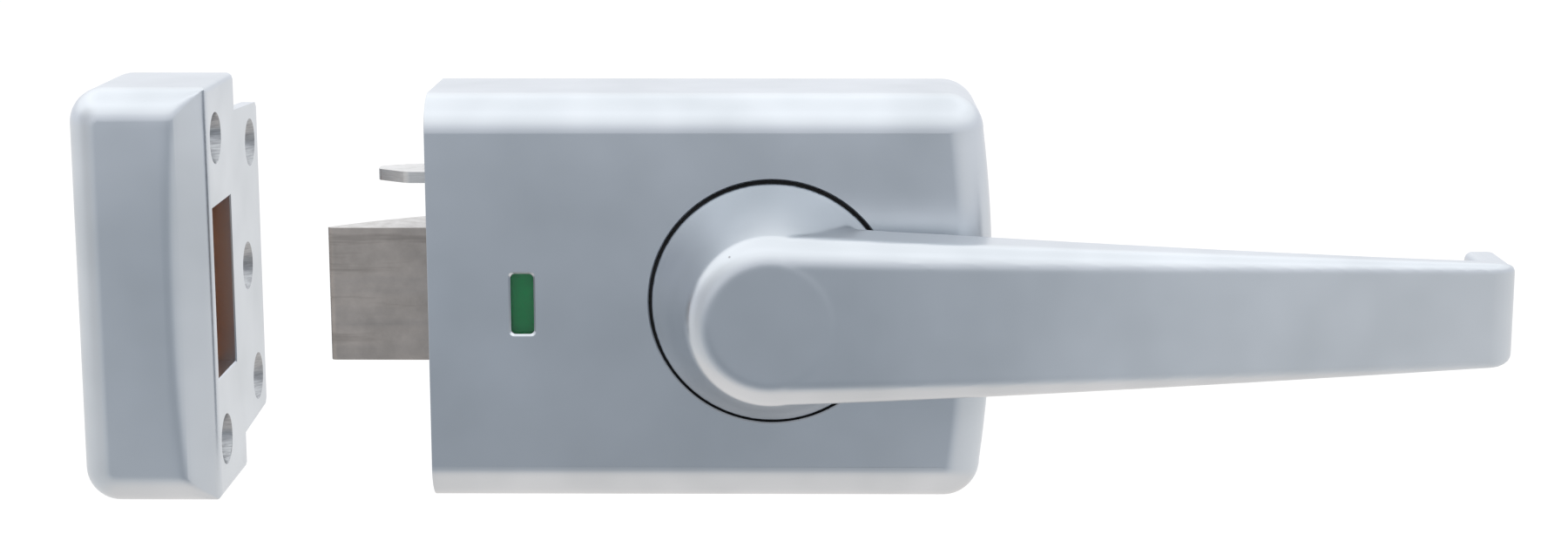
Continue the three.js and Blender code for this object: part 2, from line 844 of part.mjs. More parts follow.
// The cam's finger pushes the drive pin with a flank that keeps the push level
function camOutline() {
  const flank = [];
  const base = camBase;
  const last = camFirstContact + camThrow;
  for (let step = 0; step <= camSteps; step += 1) {
    const reach = camFirstContact + (last - camFirstContact) * step / camSteps;
    const radius = Math.hypot(base, reach);
    const angle = Math.atan2(reach, base) - (reach - camFirstContact) / base;
    flank.push([radius * Math.sin(angle), radius * Math.cos(angle)]);
  }
  const [tipX, tipZ] = flank[flank.length - 1];
  const points = [[camFirstContact, 0], ...flank];
  points.push([tipX - camFingerWidth / 2, tipZ + camFirstContact / 2]);
  points.push([tipX - camFingerWidth, tipZ - camFirstContact]);
  points.push([-camFingerWidth, base - camFingerWidth]);
  points.push([-camHubRadius * Math.SQRT1_2, camHubRadius * Math.SQRT1_2]);
  points.push([-camHubRadius * Math.SQRT1_2, 0]);
  return polygon(points);
}

function driveCam() {
  const disc = barY(0, 0, camHubRadius, camFront, camBack, hubSides);
  const finger = plateXZ(camOutline(), camFront, camBack);
  const headFloor = camBack - camScrewHeadThickness - gap;
  return cut(
    join(disc, finger),
    plateXZ(spindleSquare(gap), camFront - overrun, camBack - camWeb),
    barY(0, 0, camScrewRadius + gap, camFront, camBack + overrun),
    barY(0, 0, camScrewHeadRadius + gap, headFloor, camBack + overrun),
  );
}

function camScrew() {
  const headFront = camBack - camScrewHeadThickness;
  return join(
    barY(0, 0, camScrewRadius, camBack - camScrewLength, camBack),
    barY(0, 0, camScrewHeadRadius, headFront, camBack),
  );
}

// The bolt's plan: a square front, a narrow tip and a long bevel at the back
function boltPlan() {
  const tip = caseLeft - boltThrow;
  const bevelEnd = tip + boltBevelLength;
  const tipBack = -boltFront + boltTipFlat;
  const depth = boltBack - tipBack;
  const plan = new THREE.Shape();
  plan.moveTo(tip, -boltFront);
  plan.lineTo(boltInnerEnd, -boltFront);
  plan.lineTo(boltInnerEnd, boltBack);
  plan.lineTo(bevelEnd, boltBack);
  plan.quadraticCurveTo(
    tip + boltBevelLength / 2 - boltBevelBulge,
    tipBack + depth / 2 + boltBevelBulge,
    tip, tipBack);
  return plan;
}

function rivetPlaces() {
  return [-rivetSpacing / 2, rivetSpacing / 2].map((z) => [boltInnerEnd - rivetInset, z]);
}

function latchBolt() {
  const slotFront = -tailFront - gap;
  const slotBack = tailBack + gap;
  const rivets = rivetPlaces().map(([x, z]) => (
    barY(x, z, rivetRadius + gap, -boltFront - overrun, boltBack + overrun)));
  return cut(
    plateXY(boltPlan(), -boltHeight / 2, boltHeight / 2, bevelSteps),
    block(boltInnerEnd - tailInBolt - gap, boltInnerEnd + overrun, slotFront, slotBack,
      -boltHeight, boltHeight),
    ...rivets,
  );
}

function boltRivet(x, z) {
  return barY(x, z, rivetRadius, -boltFront + gap, boltBack - gap);
}

// The tail runs past the cam, with an arm up to the drive pin and a strap down to the rod
function boltTail() {
  const left = boltInnerEnd - tailInBolt;
  const right = drivePinX + tailPastPin;
  const armLeft = right - tailArmWidth;
  const flangeLow = -rodDrop - lugHalfHeight;
  const flangeHigh = -rodDrop + lugHalfHeight;
  const front = -tailFront;
  const tail = join(
    plateXZ(rectangle(left, right, -tailHalfHeight, tailHalfHeight), front, tailBack),
    plateXZ(rectangle(armLeft, right, 0, drivePinZ + tailPastPin), front, tailBack),
    plateXZ(rectangle(strapLeft, strapLeft + strapWidth, flangeHigh, 0), front, tailBack),
    block(strapLeft, strapLeft + lugThickness, rodY - strapFlangeHalfWidth,
      rodY + strapFlangeHalfWidth, flangeLow, flangeHigh + lugThickness),
  );
  return cut(
    tail,
    ...rivetPlaces().map(([x, z]) => (
      barY(x, z, rivetRadius + gap, front - overrun, tailBack + overrun))),
    barX(rodY, -rodDrop, rodRadius + gap, strapLeft - overrun,
      strapLeft + strapWidth + overrun),
    barY(drivePinX, drivePinZ, drivePinNeck() + gap, front - overrun, tailBack + overrun),
  );
}

function drivePinNeck() {
  return drivePinRadius * drivePinNeckShare;
}

function drivePin() {
  const shoulder = -tailFront - gap;
  return join(
    barY(drivePinX, drivePinZ, drivePinRadius, shoulder - drivePinLength, shoulder),
    barY(drivePinX, drivePinZ, drivePinNeck(), shoulder - drivePinLength / 2, tailBack),
  );
}

function springRod() {
  const left = leftLugX - rodMargin;
  const right = rightLugX + lugThickness + rodMargin;
  return barX(rodY, -rodDrop, rodRadius, left, right);
}

function boltSpring() {
  const start = strapLeft + lugThickness + gap;
  const length = rightLugX - gap - start;
  return coil(boltSpringRadius, boltSpringWire, length, boltSpringTurns)
    .translate([start, rodY, -rodDrop]);
}

// The trigger latch: a thin plate with a two sided nose, a wedge below and a rod behind
function triggerPlan() {
  const tip = caseLeft - triggerProjection;
  const front = -triggerFront;
  const back = front + triggerWidth;
  const tipFront = front + triggerTipFront;
  const nose = tip + triggerNoseLength;
  const inner = triggerInner;
  return polygon([
    [tip, tipFront], [nose, front], [inner, front], [inner, back], [nose, back],
    [tip, tipFront + triggerTipWidth],
  ]);
}

function triggerWedge() {
  const right = triggerInner - wedgeInset;
  const left = right - triggerTravel;
  const low = triggerHeight - triggerThickness / 2;
  const shape = polygon([
    [right, low], [left, low - wedgeDrop], [left - wedgeInset, low - wedgeDrop],
    [left - wedgeInset - wedgeDrop, low], [left - wedgeInset, triggerHeight],
    [right, triggerHeight],
  ]);
  return plateXZ(shape, -detentFront, -detentFront + detentThickness);
}

function triggerLatch() {
  const low = triggerHeight - triggerThickness / 2;
  const rodLeft = triggerInner - overrun;
  return join(
    plateXY(triggerPlan(), low, low + triggerThickness),
    triggerWedge(),
    barX(-triggerRodBack, triggerHeight, triggerRodRadius, rodLeft, rodLeft + triggerRodLength),
  );
}

function triggerSpring() {
  const start = triggerInner + gap;
  const length = triggerLugX - gap - start;
  return coil(triggerSpringRadius, triggerSpringWire, length, triggerSpringTurns)
    .translate([start, -triggerRodBack, triggerHeight]);
}

// The detent rocks on its pin: the wedge presses its nub and its nose comes down over the bolt
function detentOutline() {
  const nubTop = triggerHeight - triggerThickness / 2 - gap;
  const nubX = detentPivotX - detentReach;
  const noseLow = boltHeight / 2 + gap + wedgeDrop + detentNoseDrop;
  const noseLeft = nubX - detentNoseWidth;
  const half = detentHubRadius;
  return polygon([
    [detentPivotX, detentPivotZ - half], [detentPivotX, detentPivotZ + half / 2],
    [nubX + detentNoseWidth / 2, detentPivotZ + half / 2], [nubX + detentNoseWidth / 4, nubTop],
    [nubX - detentNoseWidth / 4, nubTop], [noseLeft, detentPivotZ + half / 2],
    [noseLeft, noseLow], [nubX, noseLow],
  ]);
}

function deadlockDetent() {
  const front = -detentFront;
  const back = front + detentThickness;
  return cut(
    join(
      barY(detentPivotX, detentPivotZ, detentHubRadius, front, back),
      plateXZ(detentOutline(), front, back),
    ),
    barY(detentPivotX, detentPivotZ, detentPinRadius + gap, front - overrun, back + overrun),
  );
}

function detentPin() {
  return barY(detentPivotX, detentPivotZ, detentPinRadius, -detentPinFront, -closeGap);
}

function detentSpring() {
  const radius = detentPinRadius + gap + detentSpringWire / 2;
  const length = detentSpringTurns * detentSpringPitch + detentSpringWire;
  return coil(radius, detentSpringWire, length, detentSpringTurns)
    .rotate([0, 0, quarterTurnDegrees])
    .translate([detentPivotX, -detentFront - gap - length, detentPivotZ]);
}

// The key cam turns in the back plate and its round fingertip moves the locking slide
function keyCam() {
  const back = plateFront - gap;
  const front = back - keyCamThickness;
  const hub = barY(0, 0, tailbarHoleRadius - gap, front, -closeGap, hubSides);
  const disc = barY(0, 0, keyCamRadius, front, back, hubSides);
  const neck = plateXZ(rectangle(-keyFingerNeck / 2, keyFingerNeck / 2, -keyFingerReach, 0),
    front, back);
  const tip = barY(0, -keyFingerReach, keyFingerTip, front, back);
  const slot = block(-keySlotWidth / 2, keySlotWidth / 2, front - overrun, overrun,
    -keySlotLength / 2, keySlotLength / 2);
  return cut(join(disc, hub, neck, tip), slot);
}

function flagHalfWidth() {
  return (slideTravel - gap) / 2;
}

function flagLimits() {
  const margin = flagMargin + gap;
  return [windowZ - windowHeight / 2 - margin, windowZ + windowHeight / 2 + margin];
}

function flag(shift) {
  const front = frontInside + gap;
  const half = flagHalfWidth();
  const middle = windowX - shift;
  const [low, high] = flagLimits();
  return block(middle - half, middle + half, front, front + flagThickness, low, high);
}

// The locking slide: a plate behind the flags, an arm below the hub and a fork at the back
function lockingSlide() {
  const front = frontInside + gap + flagThickness + gap;
  const back = front + slideThickness;
  const [, high] = flagLimits();
  const left = windowX - slideTravel - flagHalfWidth();
  const armLow = -slideArmDrop - slideArmWidth / 2;
  const armHigh = -slideArmDrop + slideArmWidth / 2;
  const forkHalf = keyFingerTip + gap + forkWall;
  const forkBack = plateFront - gap - gap;
  const forkFront = forkBack - forkDepth;
  const forkSlot = keyFingerTip + gap;
  const forkTop = -keyFingerReach + keyFingerTip - gap;
  const right = axisX + forkHalf;
  const slots = slidePinPlaces.map((x) => plateXZ(
    roundedRectangle(x - slideTravel - slidePinRadius - gap, x + slidePinRadius + gap,
      -slideArmDrop - slidePinRadius - gap, -slideArmDrop + slidePinRadius + gap,
      slidePinRadius + gap - closeGap),
    front - overrun, back + overrun, cornerSteps));
  return cut(
    join(
      block(left, windowX + flagHalfWidth(), front, back, armLow, high),
      block(left, right, front, back, armLow, armHigh),
      block(axisX - forkHalf, right, front, forkBack, armLow, armLow + forkBarHeight),
      block(axisX - forkHalf, right, forkFront, forkBack, armLow, forkTop),
    ),
    block(axisX - forkSlot, axisX + forkSlot, forkFront - overrun, forkBack + overrun,
      -keyFingerReach - keyFingerTip - gap, forkTop + overrun),
    ...slots,
  );
}

function slidePin(x) {
  const headFront = frontInside + gap + flagThickness + gap + slideThickness + gap;
  return join(
    barY(x, -slideArmDrop, slidePinRadius, frontInside + closeGap, headFront + gap),
    barY(x, -slideArmDrop, slidePinHeadRadius, headFront, headFront + slidePinHeadThickness),
  );
}

// The strike, drawn about its own face: X runs back from zero
function strikeRing(inset, depth) {
  const halfHeight = strikeHeight / 2 - inset;
  const corner = Math.max(strikeCornerRadius - inset, gap);
  const left = -strikeWidth + inset;
  const ring = [[0, -halfHeight], [0, halfHeight]];
  [1, -1].forEach((side) => {
    for (let step = 0; step <= cornerSteps; step += 1) {
      const share = side > 0 ? step / cornerSteps : 1 - step / cornerSteps;
      const angle = quarterTurn * share;
      ring.push([
        left + corner - corner * Math.sin(angle),
        side * (halfHeight - corner + corner * Math.cos(angle)),
      ]);
    }
  });
  return ring.map(([x, z]) => new THREE.Vector3(x, depth, z));
}

function strikeBlank() {
  const rings = [];
  for (let step = 0; step <= cornerSteps; step += 1) {
    const angle = quarterTurn * step / cornerSteps;
    const inset = strikeEdgeRadius * (1 - Math.sin(angle));
    const depth = -strikeDepth + strikeEdgeRadius * (1 - Math.cos(angle));
    rings.push(strikeRing(inset, depth));
  }
  rings.push(strikeRing(0, 0));
  return loft(rings);
}

// The ramp falls from the front to the face, widest at the middle of its height
function strikeRamp() {
  const rings = [];
  for (let step = 0; step <= rampSteps; step += 1) {
    const share = 2 * step / rampSteps - 1;
    const height = (strikeHeight / 2 + overrun) * share;
    const width = rampEndWidth + (rampMiddleWidth - rampEndWidth) * (1 - share ** 2);
    const slope = rampDrop / width;
    const front = -strikeDepth;
    rings.push([
      new THREE.Vector3(-width - overrun, front - slope * overrun, height),
      new THREE.Vector3(overrun, front + rampDrop + slope * overrun, height),
      new THREE.Vector3(overrun, front - slope * overrun - overrun, height),
      new THREE.Vector3(-width - overrun, front - slope * overrun - overrun, height),
    ]);
  }
  return loft(rings);
}

function flangeOutline() {
  const halfHeight = flangeHeight / 2;
  const outer = halfHeight - flangeTaper;
  return polygon([
    [-flangeThickness, -halfHeight], [flangeDepth - flangeCorner, -outer],
    [flangeDepth, -outer + flangeCorner], [flangeDepth, outer - flangeCorner],
    [flangeDepth - flangeCorner, outer], [-flangeThickness, halfHeight],
  ]);
}

// A screw hole through the flange, with its countersink on the face
function flangeHole([y, z]) {
  const deep = -flangeThickness - overrun;
  const sinkDepth = flangeHoleRadius - screwHoleRadius;
  const profile = [
    [0, deep], [screwHoleRadius, deep], [screwHoleRadius, -sinkDepth],
    [flangeHoleRadius, 0], [flangeHoleRadius, overrun], [0, overrun],
  ];
  return turnedY(profile, hubSides).rotate([0, 0, -quarterTurnDegrees]).translate([0, y, z]);
}

function boxHole(side) {
  const z = side * boxHoleHeight;
  return join(
    barX(-boxHoleBack, z, boxHoleRadius, -boxHoleDepth, overrun, hubSides),
    barX(-boxHoleBack, z, screwHoleRadius, -strikeWidth - overrun, overrun, pinSides),
  );
}

function strikeKeep() {
  const holes = [
    [flangeHoleOuterY, flangeHoleOuterHeight], [flangeHoleMiddleY, 0],
    [flangeHoleOuterY, -flangeHoleOuterHeight],
  ].map(flangeHole);
  const half = strikePocketHeight / 2;
  return cut(
    join(strikeBlank(), plateYZ(flangeOutline(), -flangeThickness, 0)),
    strikeRamp(),
    block(-strikeWidth + strikeWall, -strikeSideWall, -strikeDepth + strikeWall, overrun,
      -half, half),
    block(-strikeSideWall - overrun, overrun, -strikeSlotFront, -strikeSlotBack,
      -strikeSlotHeight / 2, strikeSlotHeight / 2),
    boxHole(1), boxHole(-1), ...holes,
  );
}

// A brown tray behind the slot, open towards the bolt
function strikeLiner() {
  const right = -strikeSideWall - gap;
  const left = right - linerDepth;
  const half = strikeSlotHeight / 2;
  return cut(
    block(left, right, -strikeSlotFront - linerWall, -strikeSlotBack + linerWall,
      -half - linerWall, half + linerWall),
    block(left + linerWall, right + overrun, -strikeSlotFront, -strikeSlotBack, -half, half),
  );
}

// The parts that stay with the door
function fixedPieces(group) {
  place(group, 'case_cover', caseCover(), satinChrome);
  place(group, 'back_plate', backPlate(), zincPlate);
  place(group, 'bolt_guide_plate', boltGuidePlate(), zincPlate);
  place(group, 'window_lens', windowLens(), clearLens);
  place(group, 'spring_rod', springRod(), paleSteel);
  place(group, 'bolt_spring', boltSpring(), springSteel);
  place(group, 'trigger_spring', triggerSpring(), springSteel);
  place(group, 'detent_pin', detentPin(), paleSteel);
  place(group, 'detent_spring', detentSpring(), springSteel);
  slidePinPlaces.forEach((x, order) => {
    place(group, `slide_pin_${order + 1}`, slidePin(x), paleSteel);
  });
  coverPosts().forEach(([x, z], order) => {
    place(group, `cover_screw_${order + 1}`, coverScrew(x, z), paleSteel);
  });
}

// The parts about the lever's axis
function leverPieces(group) {
  place(group, 'lever_handle', leverHandle(), satinChrome);
  place(group, 'lever_spindle', leverSpindle(), paleSteel);
  place(group, 'lever_grub_screw', grubScrew(), paleSteel);
  place(group, 'lever_bush', leverBush(), whiteNylon);
  place(group, 'retaining_ring', retainingRing(), springSteel);
  place(group, 'lever_return_spring', leverSpring(), springSteel);
  place(group, 'drive_cam', driveCam(), brass);
  place(group, 'cam_screw', camScrew(), paleSteel);
  place(group, 'key_cam', keyCam(), brass);
}

function boltPieces(group) {
  place(group, 'latch_bolt', latchBolt(), warmSteel);
  place(group, 'bolt_tail', boltTail(), zincPlate);
  place(group, 'drive_pin', drivePin(), paleSteel);
  rivetPlaces().forEach(([x, z], order) => {
    place(group, `bolt_rivet_${order + 1}`, boltRivet(x, z), paleSteel);
  });
}

function triggerPieces(group) {
  place(group, 'trigger_latch', triggerLatch(), paleSteel);
  place(group, 'deadlock_detent', deadlockDetent(), brass);
}

function lockingPieces(group) {
  place(group, 'locking_slide', lockingSlide(), zincPlate);
  place(group, 'flag_green', flag(0), greenEnamel);
  place(group, 'flag_red', flag(slideTravel), redEnamel);
}

function strikePieces(group) {
  place(group, 'strike_keep', strikeKeep(), satinChrome);
  place(group, 'strike_liner', strikeLiner(), brownPlastic);
}

const leverDeadlatch = new THREE.Group();
const lock = new THREE.Group();
const leverAxis = new THREE.Group();
const strike = new THREE.Group();
leverAxis.position.x = axisX;
strike.position.x = strikeFace;
lock.add(leverAxis);
leverDeadlatch.add(lock, strike);
fixedPieces(lock);
leverPieces(leverAxis);
boltPieces(lock);
triggerPieces(lock);
lockingPieces(lock);
strikePieces(strike);

export default leverDeadlatch;
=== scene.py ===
import json
from math import cos, exp, hypot, log1p, pi, radians, sin, sqrt, tan

import bmesh
import bpy
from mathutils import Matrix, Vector


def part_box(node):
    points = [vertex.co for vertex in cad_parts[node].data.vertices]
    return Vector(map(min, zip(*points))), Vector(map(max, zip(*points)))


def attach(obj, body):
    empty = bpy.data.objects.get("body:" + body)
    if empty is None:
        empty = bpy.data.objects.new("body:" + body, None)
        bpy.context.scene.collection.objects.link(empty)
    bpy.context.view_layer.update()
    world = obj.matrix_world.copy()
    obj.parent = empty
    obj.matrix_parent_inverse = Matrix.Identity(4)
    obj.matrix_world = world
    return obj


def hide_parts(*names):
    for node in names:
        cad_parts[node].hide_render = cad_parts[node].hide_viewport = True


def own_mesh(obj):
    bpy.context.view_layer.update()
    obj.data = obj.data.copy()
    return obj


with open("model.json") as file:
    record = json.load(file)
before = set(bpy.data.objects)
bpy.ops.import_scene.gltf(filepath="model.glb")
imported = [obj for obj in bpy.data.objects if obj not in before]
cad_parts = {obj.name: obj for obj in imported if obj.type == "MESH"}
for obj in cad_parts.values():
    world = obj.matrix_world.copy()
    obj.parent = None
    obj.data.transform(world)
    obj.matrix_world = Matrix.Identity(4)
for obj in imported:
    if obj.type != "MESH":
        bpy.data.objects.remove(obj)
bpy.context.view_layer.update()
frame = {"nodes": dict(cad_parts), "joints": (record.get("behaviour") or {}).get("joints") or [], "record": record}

nodes = frame["nodes"]
joints = {joint["name"]: joint for joint in frame["joints"]}
slots = {part["node"]: part["material_slot"] for part in frame["record"]["subparts"]}
mm = 0.001
# places nearer than tiny are one place, cutters reach beyond what they cut, and a face whose
# normal has more than facing along an axis looks that way
tiny, beyond, facing = 0.02 * mm, 1 * mm, 0.9
print("frame loaded:", len(nodes), "nodes")


# Small steps that every piece uses

def deselectAll():
    bpy.ops.object.select_all(action="DESELECT")


def makeActive(piece):
    deselectAll()
    piece.select_set(True)
    bpy.context.view_layer.objects.active = piece


def newPiece(name, addShape, **settings):
    # one of the basic shapes, with its place and size moved into its mesh
    deselectAll()
    addShape(**settings)
    piece = bpy.context.object
    piece.name = piece.data.name = name
    bpy.ops.object.transform_apply(location=True, rotation=True, scale=True)
    return piece


def addBox(name, low, high):
    low, high = Vector(low), Vector(high)
    return newPiece(name, bpy.ops.mesh.primitive_cube_add, size=1, location=(low + high) / 2,
                    scale=high - low)


turnTo = {"X": (0, pi / 2, 0), "Y": (pi / 2, 0, 0), "slant": (0, -pi / 4, 0)}
slant = Vector((1, 0, -1)).normalized()


def addRod(name, radius, start, end, axisName, sides=48, endRadius=None):
    # a round bar, or a cone when endRadius is given, along one axis from start to end
    start, end = Vector(start), Vector(end)
    far = radius if endRadius is None else endRadius
    low, high = (far, radius) if axisName == "Y" else (radius, far)
    return newPiece(
        name, bpy.ops.mesh.primitive_cone_add, vertices=sides, radius1=low, radius2=high,
        depth=(end - start).length, location=(start + end) / 2, rotation=turnTo[axisName])


def addBore(name, radius, place, start, end, sides, endRadius=None):
    # a rod along Y through a place
    x, z = place.xz
    return addRod(name, radius, (x, start, z), (x, end, z), "Y", sides, endRadius)


def edit(piece, kind="VERT", action="DESELECT"):
    makeActive(piece)
    bpy.ops.object.mode_set(mode="EDIT")
    bpy.ops.mesh.select_mode(type=kind)
    bpy.ops.mesh.select_all(action=action)
    return bmesh.from_edit_mesh(piece.data)


def done(piece):
    bmesh.update_edit_mesh(piece.data)
    bpy.ops.object.mode_set(mode="OBJECT")


def doneOutward(piece):
    bpy.ops.mesh.select_all(action="SELECT")
    bpy.ops.mesh.normals_make_consistent(inside=False)
    done(piece)
    return piece


def pick(piece, kind, test):
    # test gets a vertex's place, the two ends of an edge, or a face's middle and normal
    mesh = edit(piece, kind)
    for part in {"VERT": mesh.verts, "EDGE": mesh.edges, "FACE": mesh.faces}[kind]:
        if kind == "VERT":
            part.select = test(part.co)
        elif kind == "EDGE":
            part.select = test(part.verts[0].co, part.verts[1].co)
        else:
            part.select = test(part.calc_center_median(), part.normal)
    mesh.select_flush_mode()
    bmesh.update_edit_mesh(piece.data)


def pull(x, y, z):
    # draws the picked faces out, with new sides behind them
    bpy.ops.mesh.extrude_region_move(TRANSFORM_OT_translate={"value": (x, y, z)})


def bevelEdges(piece, test, width, segments):
    pick(piece, "EDGE", test)
    bpy.ops.mesh.bevel(offset=width, segments=segments, affect="EDGES", clamp_overlap=True)
    done(piece)


def sliceAt(piece, axisName, places):
    # adds a loop of edges round the piece at each place along an axis
    along = "XYZ".index(axisName)
    for place in places:
        point, normal = Vector((0, 0, 0)), Vector((0, 0, 0))
        point[along], normal[along] = place, 1
        edit(piece, action="SELECT")
        bpy.ops.mesh.bisect(plane_co=point, plane_no=normal)
        done(piece)


def evenly(reach, count):
    # even steps from minus reach to reach
    return [reach * (2 * step / count - 1) for step in range(count + 1)]


def useModifier(piece, kind, **settings):
    makeActive(piece)
    modifier = piece.modifiers.new(kind.title(), kind)
    for key, value in settings.items():
        setattr(modifier, key, value)
    bpy.ops.object.modifier_apply(modifier=modifier.name)


def combine(piece, others, operation="DIFFERENCE"):
    for other in others:
        useModifier(piece, "BOOLEAN", object=other, operation=operation, solver="EXACT")
        bpy.data.objects.remove(other, do_unlink=True)
    return piece


def tidyMesh(piece, distance=0.002 * mm):
    edit(piece, action="SELECT")
    bpy.ops.mesh.remove_doubles(threshold=distance)
    bpy.ops.mesh.dissolve_degenerate(threshold=distance)
    bpy.ops.mesh.fill_holes(sides=0)  # closes a face that a boolean cut has lost
    done(piece)


def softenEdges(piece, width, segments=2, angle=30):
    useModifier(piece, "BEVEL", width=width, segments=segments,
                angle_limit=radians(angle), miter_outer="MITER_ARC")


def onOutline(a, b, front, top, beside):
    # whether an edge of the front face runs along its top or bottom, or rises on the side
    # that beside picks
    flat = max(a.y, b.y) < front + tiny
    level = all(abs(abs(end.z) - top) < tiny for end in (a, b))
    return flat and (level or (beside(a) and beside(b) and abs(a.z - b.z) > tiny))


def handOver(piece, body, node, angle=30, material=None):
    # smooths a piece, gives it its finish and its body, and hides the CAD node that it stands for
    if angle:
        makeActive(piece)
        bpy.ops.object.shade_smooth_by_angle(angle=radians(angle))
        useModifier(piece, "WEIGHTED_NORMAL", keep_sharp=True, weight=90)
    slot = slots[node]
    piece.data.materials.clear()
    piece.data.materials.append(material or finishes[slot])
    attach(piece, body)
    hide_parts(node)
    print("made", piece.name, "with", len(piece.data.polygons), "faces")


def paintFaces(piece, material, test):
    # a second finish on the faces that the test picks by middle and normal
    piece.data.materials.append(material)
    for face in piece.data.polygons:
        if test(face.center, face.normal):
            face.material_index = len(piece.data.materials) - 1


def pieceName(node):
    first, *rest = node.split("_")
    return first + "".join(word.title() for word in rest)


def mergedCopy(node):
    # a copy of a CAD node with its loose triangles merged into clean faces
    source = nodes[node]
    piece = source.copy()
    piece.data = source.data.copy()
    for key in list(piece.keys()):
        if key.startswith("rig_"):
            del piece[key]
    piece.parent = None
    piece.name = piece.data.name = pieceName(node)
    bpy.context.scene.collection.objects.link(piece)
    edit(piece, action="SELECT")
    bpy.ops.mesh.remove_doubles(threshold=0.004 * mm)
    bpy.ops.mesh.dissolve_limited(angle_limit=radians(1.0))
    return doneOutward(piece)


# Finishes

def fill(tree, node, values):
    # a socket takes the output of another node, a colour or a number
    for name, value in values.items():
        socket = node.inputs[name]
        if isinstance(value, bpy.types.NodeSocket):
            tree.links.new(value, socket)
        else:
            socket.default_value = (*value, 1) if socket.type == "RGBA" else value
    return node


def addNode(tree, kind, values, **settings):
    node = tree.nodes.new("ShaderNode" + kind)
    for name, value in settings.items():
        setattr(node, name, value)
    return fill(tree, node, values)


def mathNode(tree, operation, first, second):
    return addNode(tree, "Math", {0: first, 1: second}, operation=operation).outputs[0]


def placeIn(tree, space="Object"):
    return addNode(tree, "TexCoord", {}).outputs[space]


def newFinish(name, metallic, roughness, color):
    material = bpy.data.materials.new(name)
    material.use_nodes = True
    tree = material.node_tree
    shader = fill(tree, tree.nodes["Principled BSDF"],
                  {"Metallic": metallic, "Roughness": roughness, "Base Color": color})
    return material, tree, shader


def noiseOf(tree, scale, detail=3, roughness=0.55, stretch=(1, 1, 1)):
    mapping = addNode(tree, "Mapping", {"Vector": placeIn(tree), "Scale": stretch})
    noise = addNode(tree, "TexNoise", {
        "Vector": mapping.outputs["Vector"], "Scale": scale, "Detail": detail,
        "Roughness": roughness})
    return noise.outputs["Fac"]


def spreadTo(tree, value, low, high, start=0.35, stop=0.65):
    # turns the numbers from start to stop, where most of a noise lies, into another range
    spread = addNode(tree, "MapRange", {
        "Value": value, "From Min": start, "From Max": stop, "To Min": low, "To Max": high})
    return spread.outputs["Result"]


def colorBetween(tree, share, first, second):
    # the sockets 6 and 7 and the output 2 of a Mix node are its colours
    mix = addNode(tree, "Mix", {"Factor": share, 6: first, 7: second}, data_type="RGBA")
    return mix.outputs[2]


def bumpFrom(tree, shader, height, strength, distance, below=None):
    bump = addNode(tree, "Bump", {"Strength": strength, "Distance": distance, "Height": height})
    if below:
        fill(tree, bump, {"Normal": below})
    fill(tree, shader, {"Normal": bump.outputs["Normal"]})
    return bump.outputs["Normal"]


def specksOf(tree, scale, share, softness=0.02, radius=0.06):
    # small round marks in a share of a pattern's cells, 1 inside a mark
    cells = addNode(tree, "TexVoronoi", {"Vector": placeIn(tree), "Scale": scale})
    draw = addNode(tree, "SeparateColor", {"Color": cells.outputs["Color"]})
    rare = mathNode(tree, "GREATER_THAN", draw.outputs[0], 1 - share)
    near = spreadTo(tree, cells.outputs["Distance"], 1, 0, radius, radius + softness)
    return mathNode(tree, "MULTIPLY", near, rare)


satinLook = {
    "light": (0.63, 0.665, 0.71), "dark": (0.455, 0.49, 0.525),
    "cloudScale": 48, "cloudDetail": 2, "cloudRange": (0.1, 0.9), "roughLow": 0.28,
    "roughHigh": 0.31, "waveScale": 60, "waveDetail": 1, "waveStrength": 0.05,
    "waveDepth": 0.05 * mm,
    "speckScale": 260, "speckShare": 0.002, "speckColor": (0.30, 0.31, 0.33),
}


def satinChrome():
    look = satinLook
    detail, reach = look["cloudDetail"], look["cloudRange"]
    material, tree, shader = newFinish("satinChrome", 1.0, 0.37, look["light"])
    clouds = spreadTo(tree, noiseOf(tree, look["cloudScale"], detail), 0, 1, *reach)
    cloudy = colorBetween(tree, clouds, look["light"], look["dark"])
    specks = specksOf(tree, look["speckScale"], look["speckShare"])
    fine = noiseOf(tree, look["cloudScale"] * 2, detail)
    fill(tree, shader, {
        "Base Color": colorBetween(tree, specks, cloudy, look["speckColor"]),
        "Roughness": spreadTo(tree, fine, look["roughLow"], look["roughHigh"], *reach)})
    waves = noiseOf(tree, look["waveScale"], look["waveDetail"])
    bumpFrom(tree, shader, waves, look["waveStrength"], look["waveDepth"])
    return material


boltLook = {
    "light": (0.43, 0.395, 0.37), "dark": (0.33, 0.305, 0.285), "smear": (0.18, 0.17, 0.16),
    "scuffScale": 170, "scuffDetail": 6, "scuffRoughness": 0.62, "scuffRange": (0.32, 0.68),
    "streakScale": 95, "streakDetail": 4, "streakRoughness": 0.6, "streakStretch": (0.2, 1, 2.8),
    "smearShare": 0.85, "smearRange": (0.57, 0.72),
    "pitScale": 520, "pitShare": 0.09, "pitSoftness": 0.05, "pitColor": (0.80, 0.79, 0.77),
    "pitStrength": 0.4, "pitDepth": 0.03 * mm,
    "grainScale": 850, "grainDetail": 4, "grainStrength": 0.3, "grainDepth": 0.025 * mm,
    "roughLow": 0.36, "roughHigh": 0.50,
}


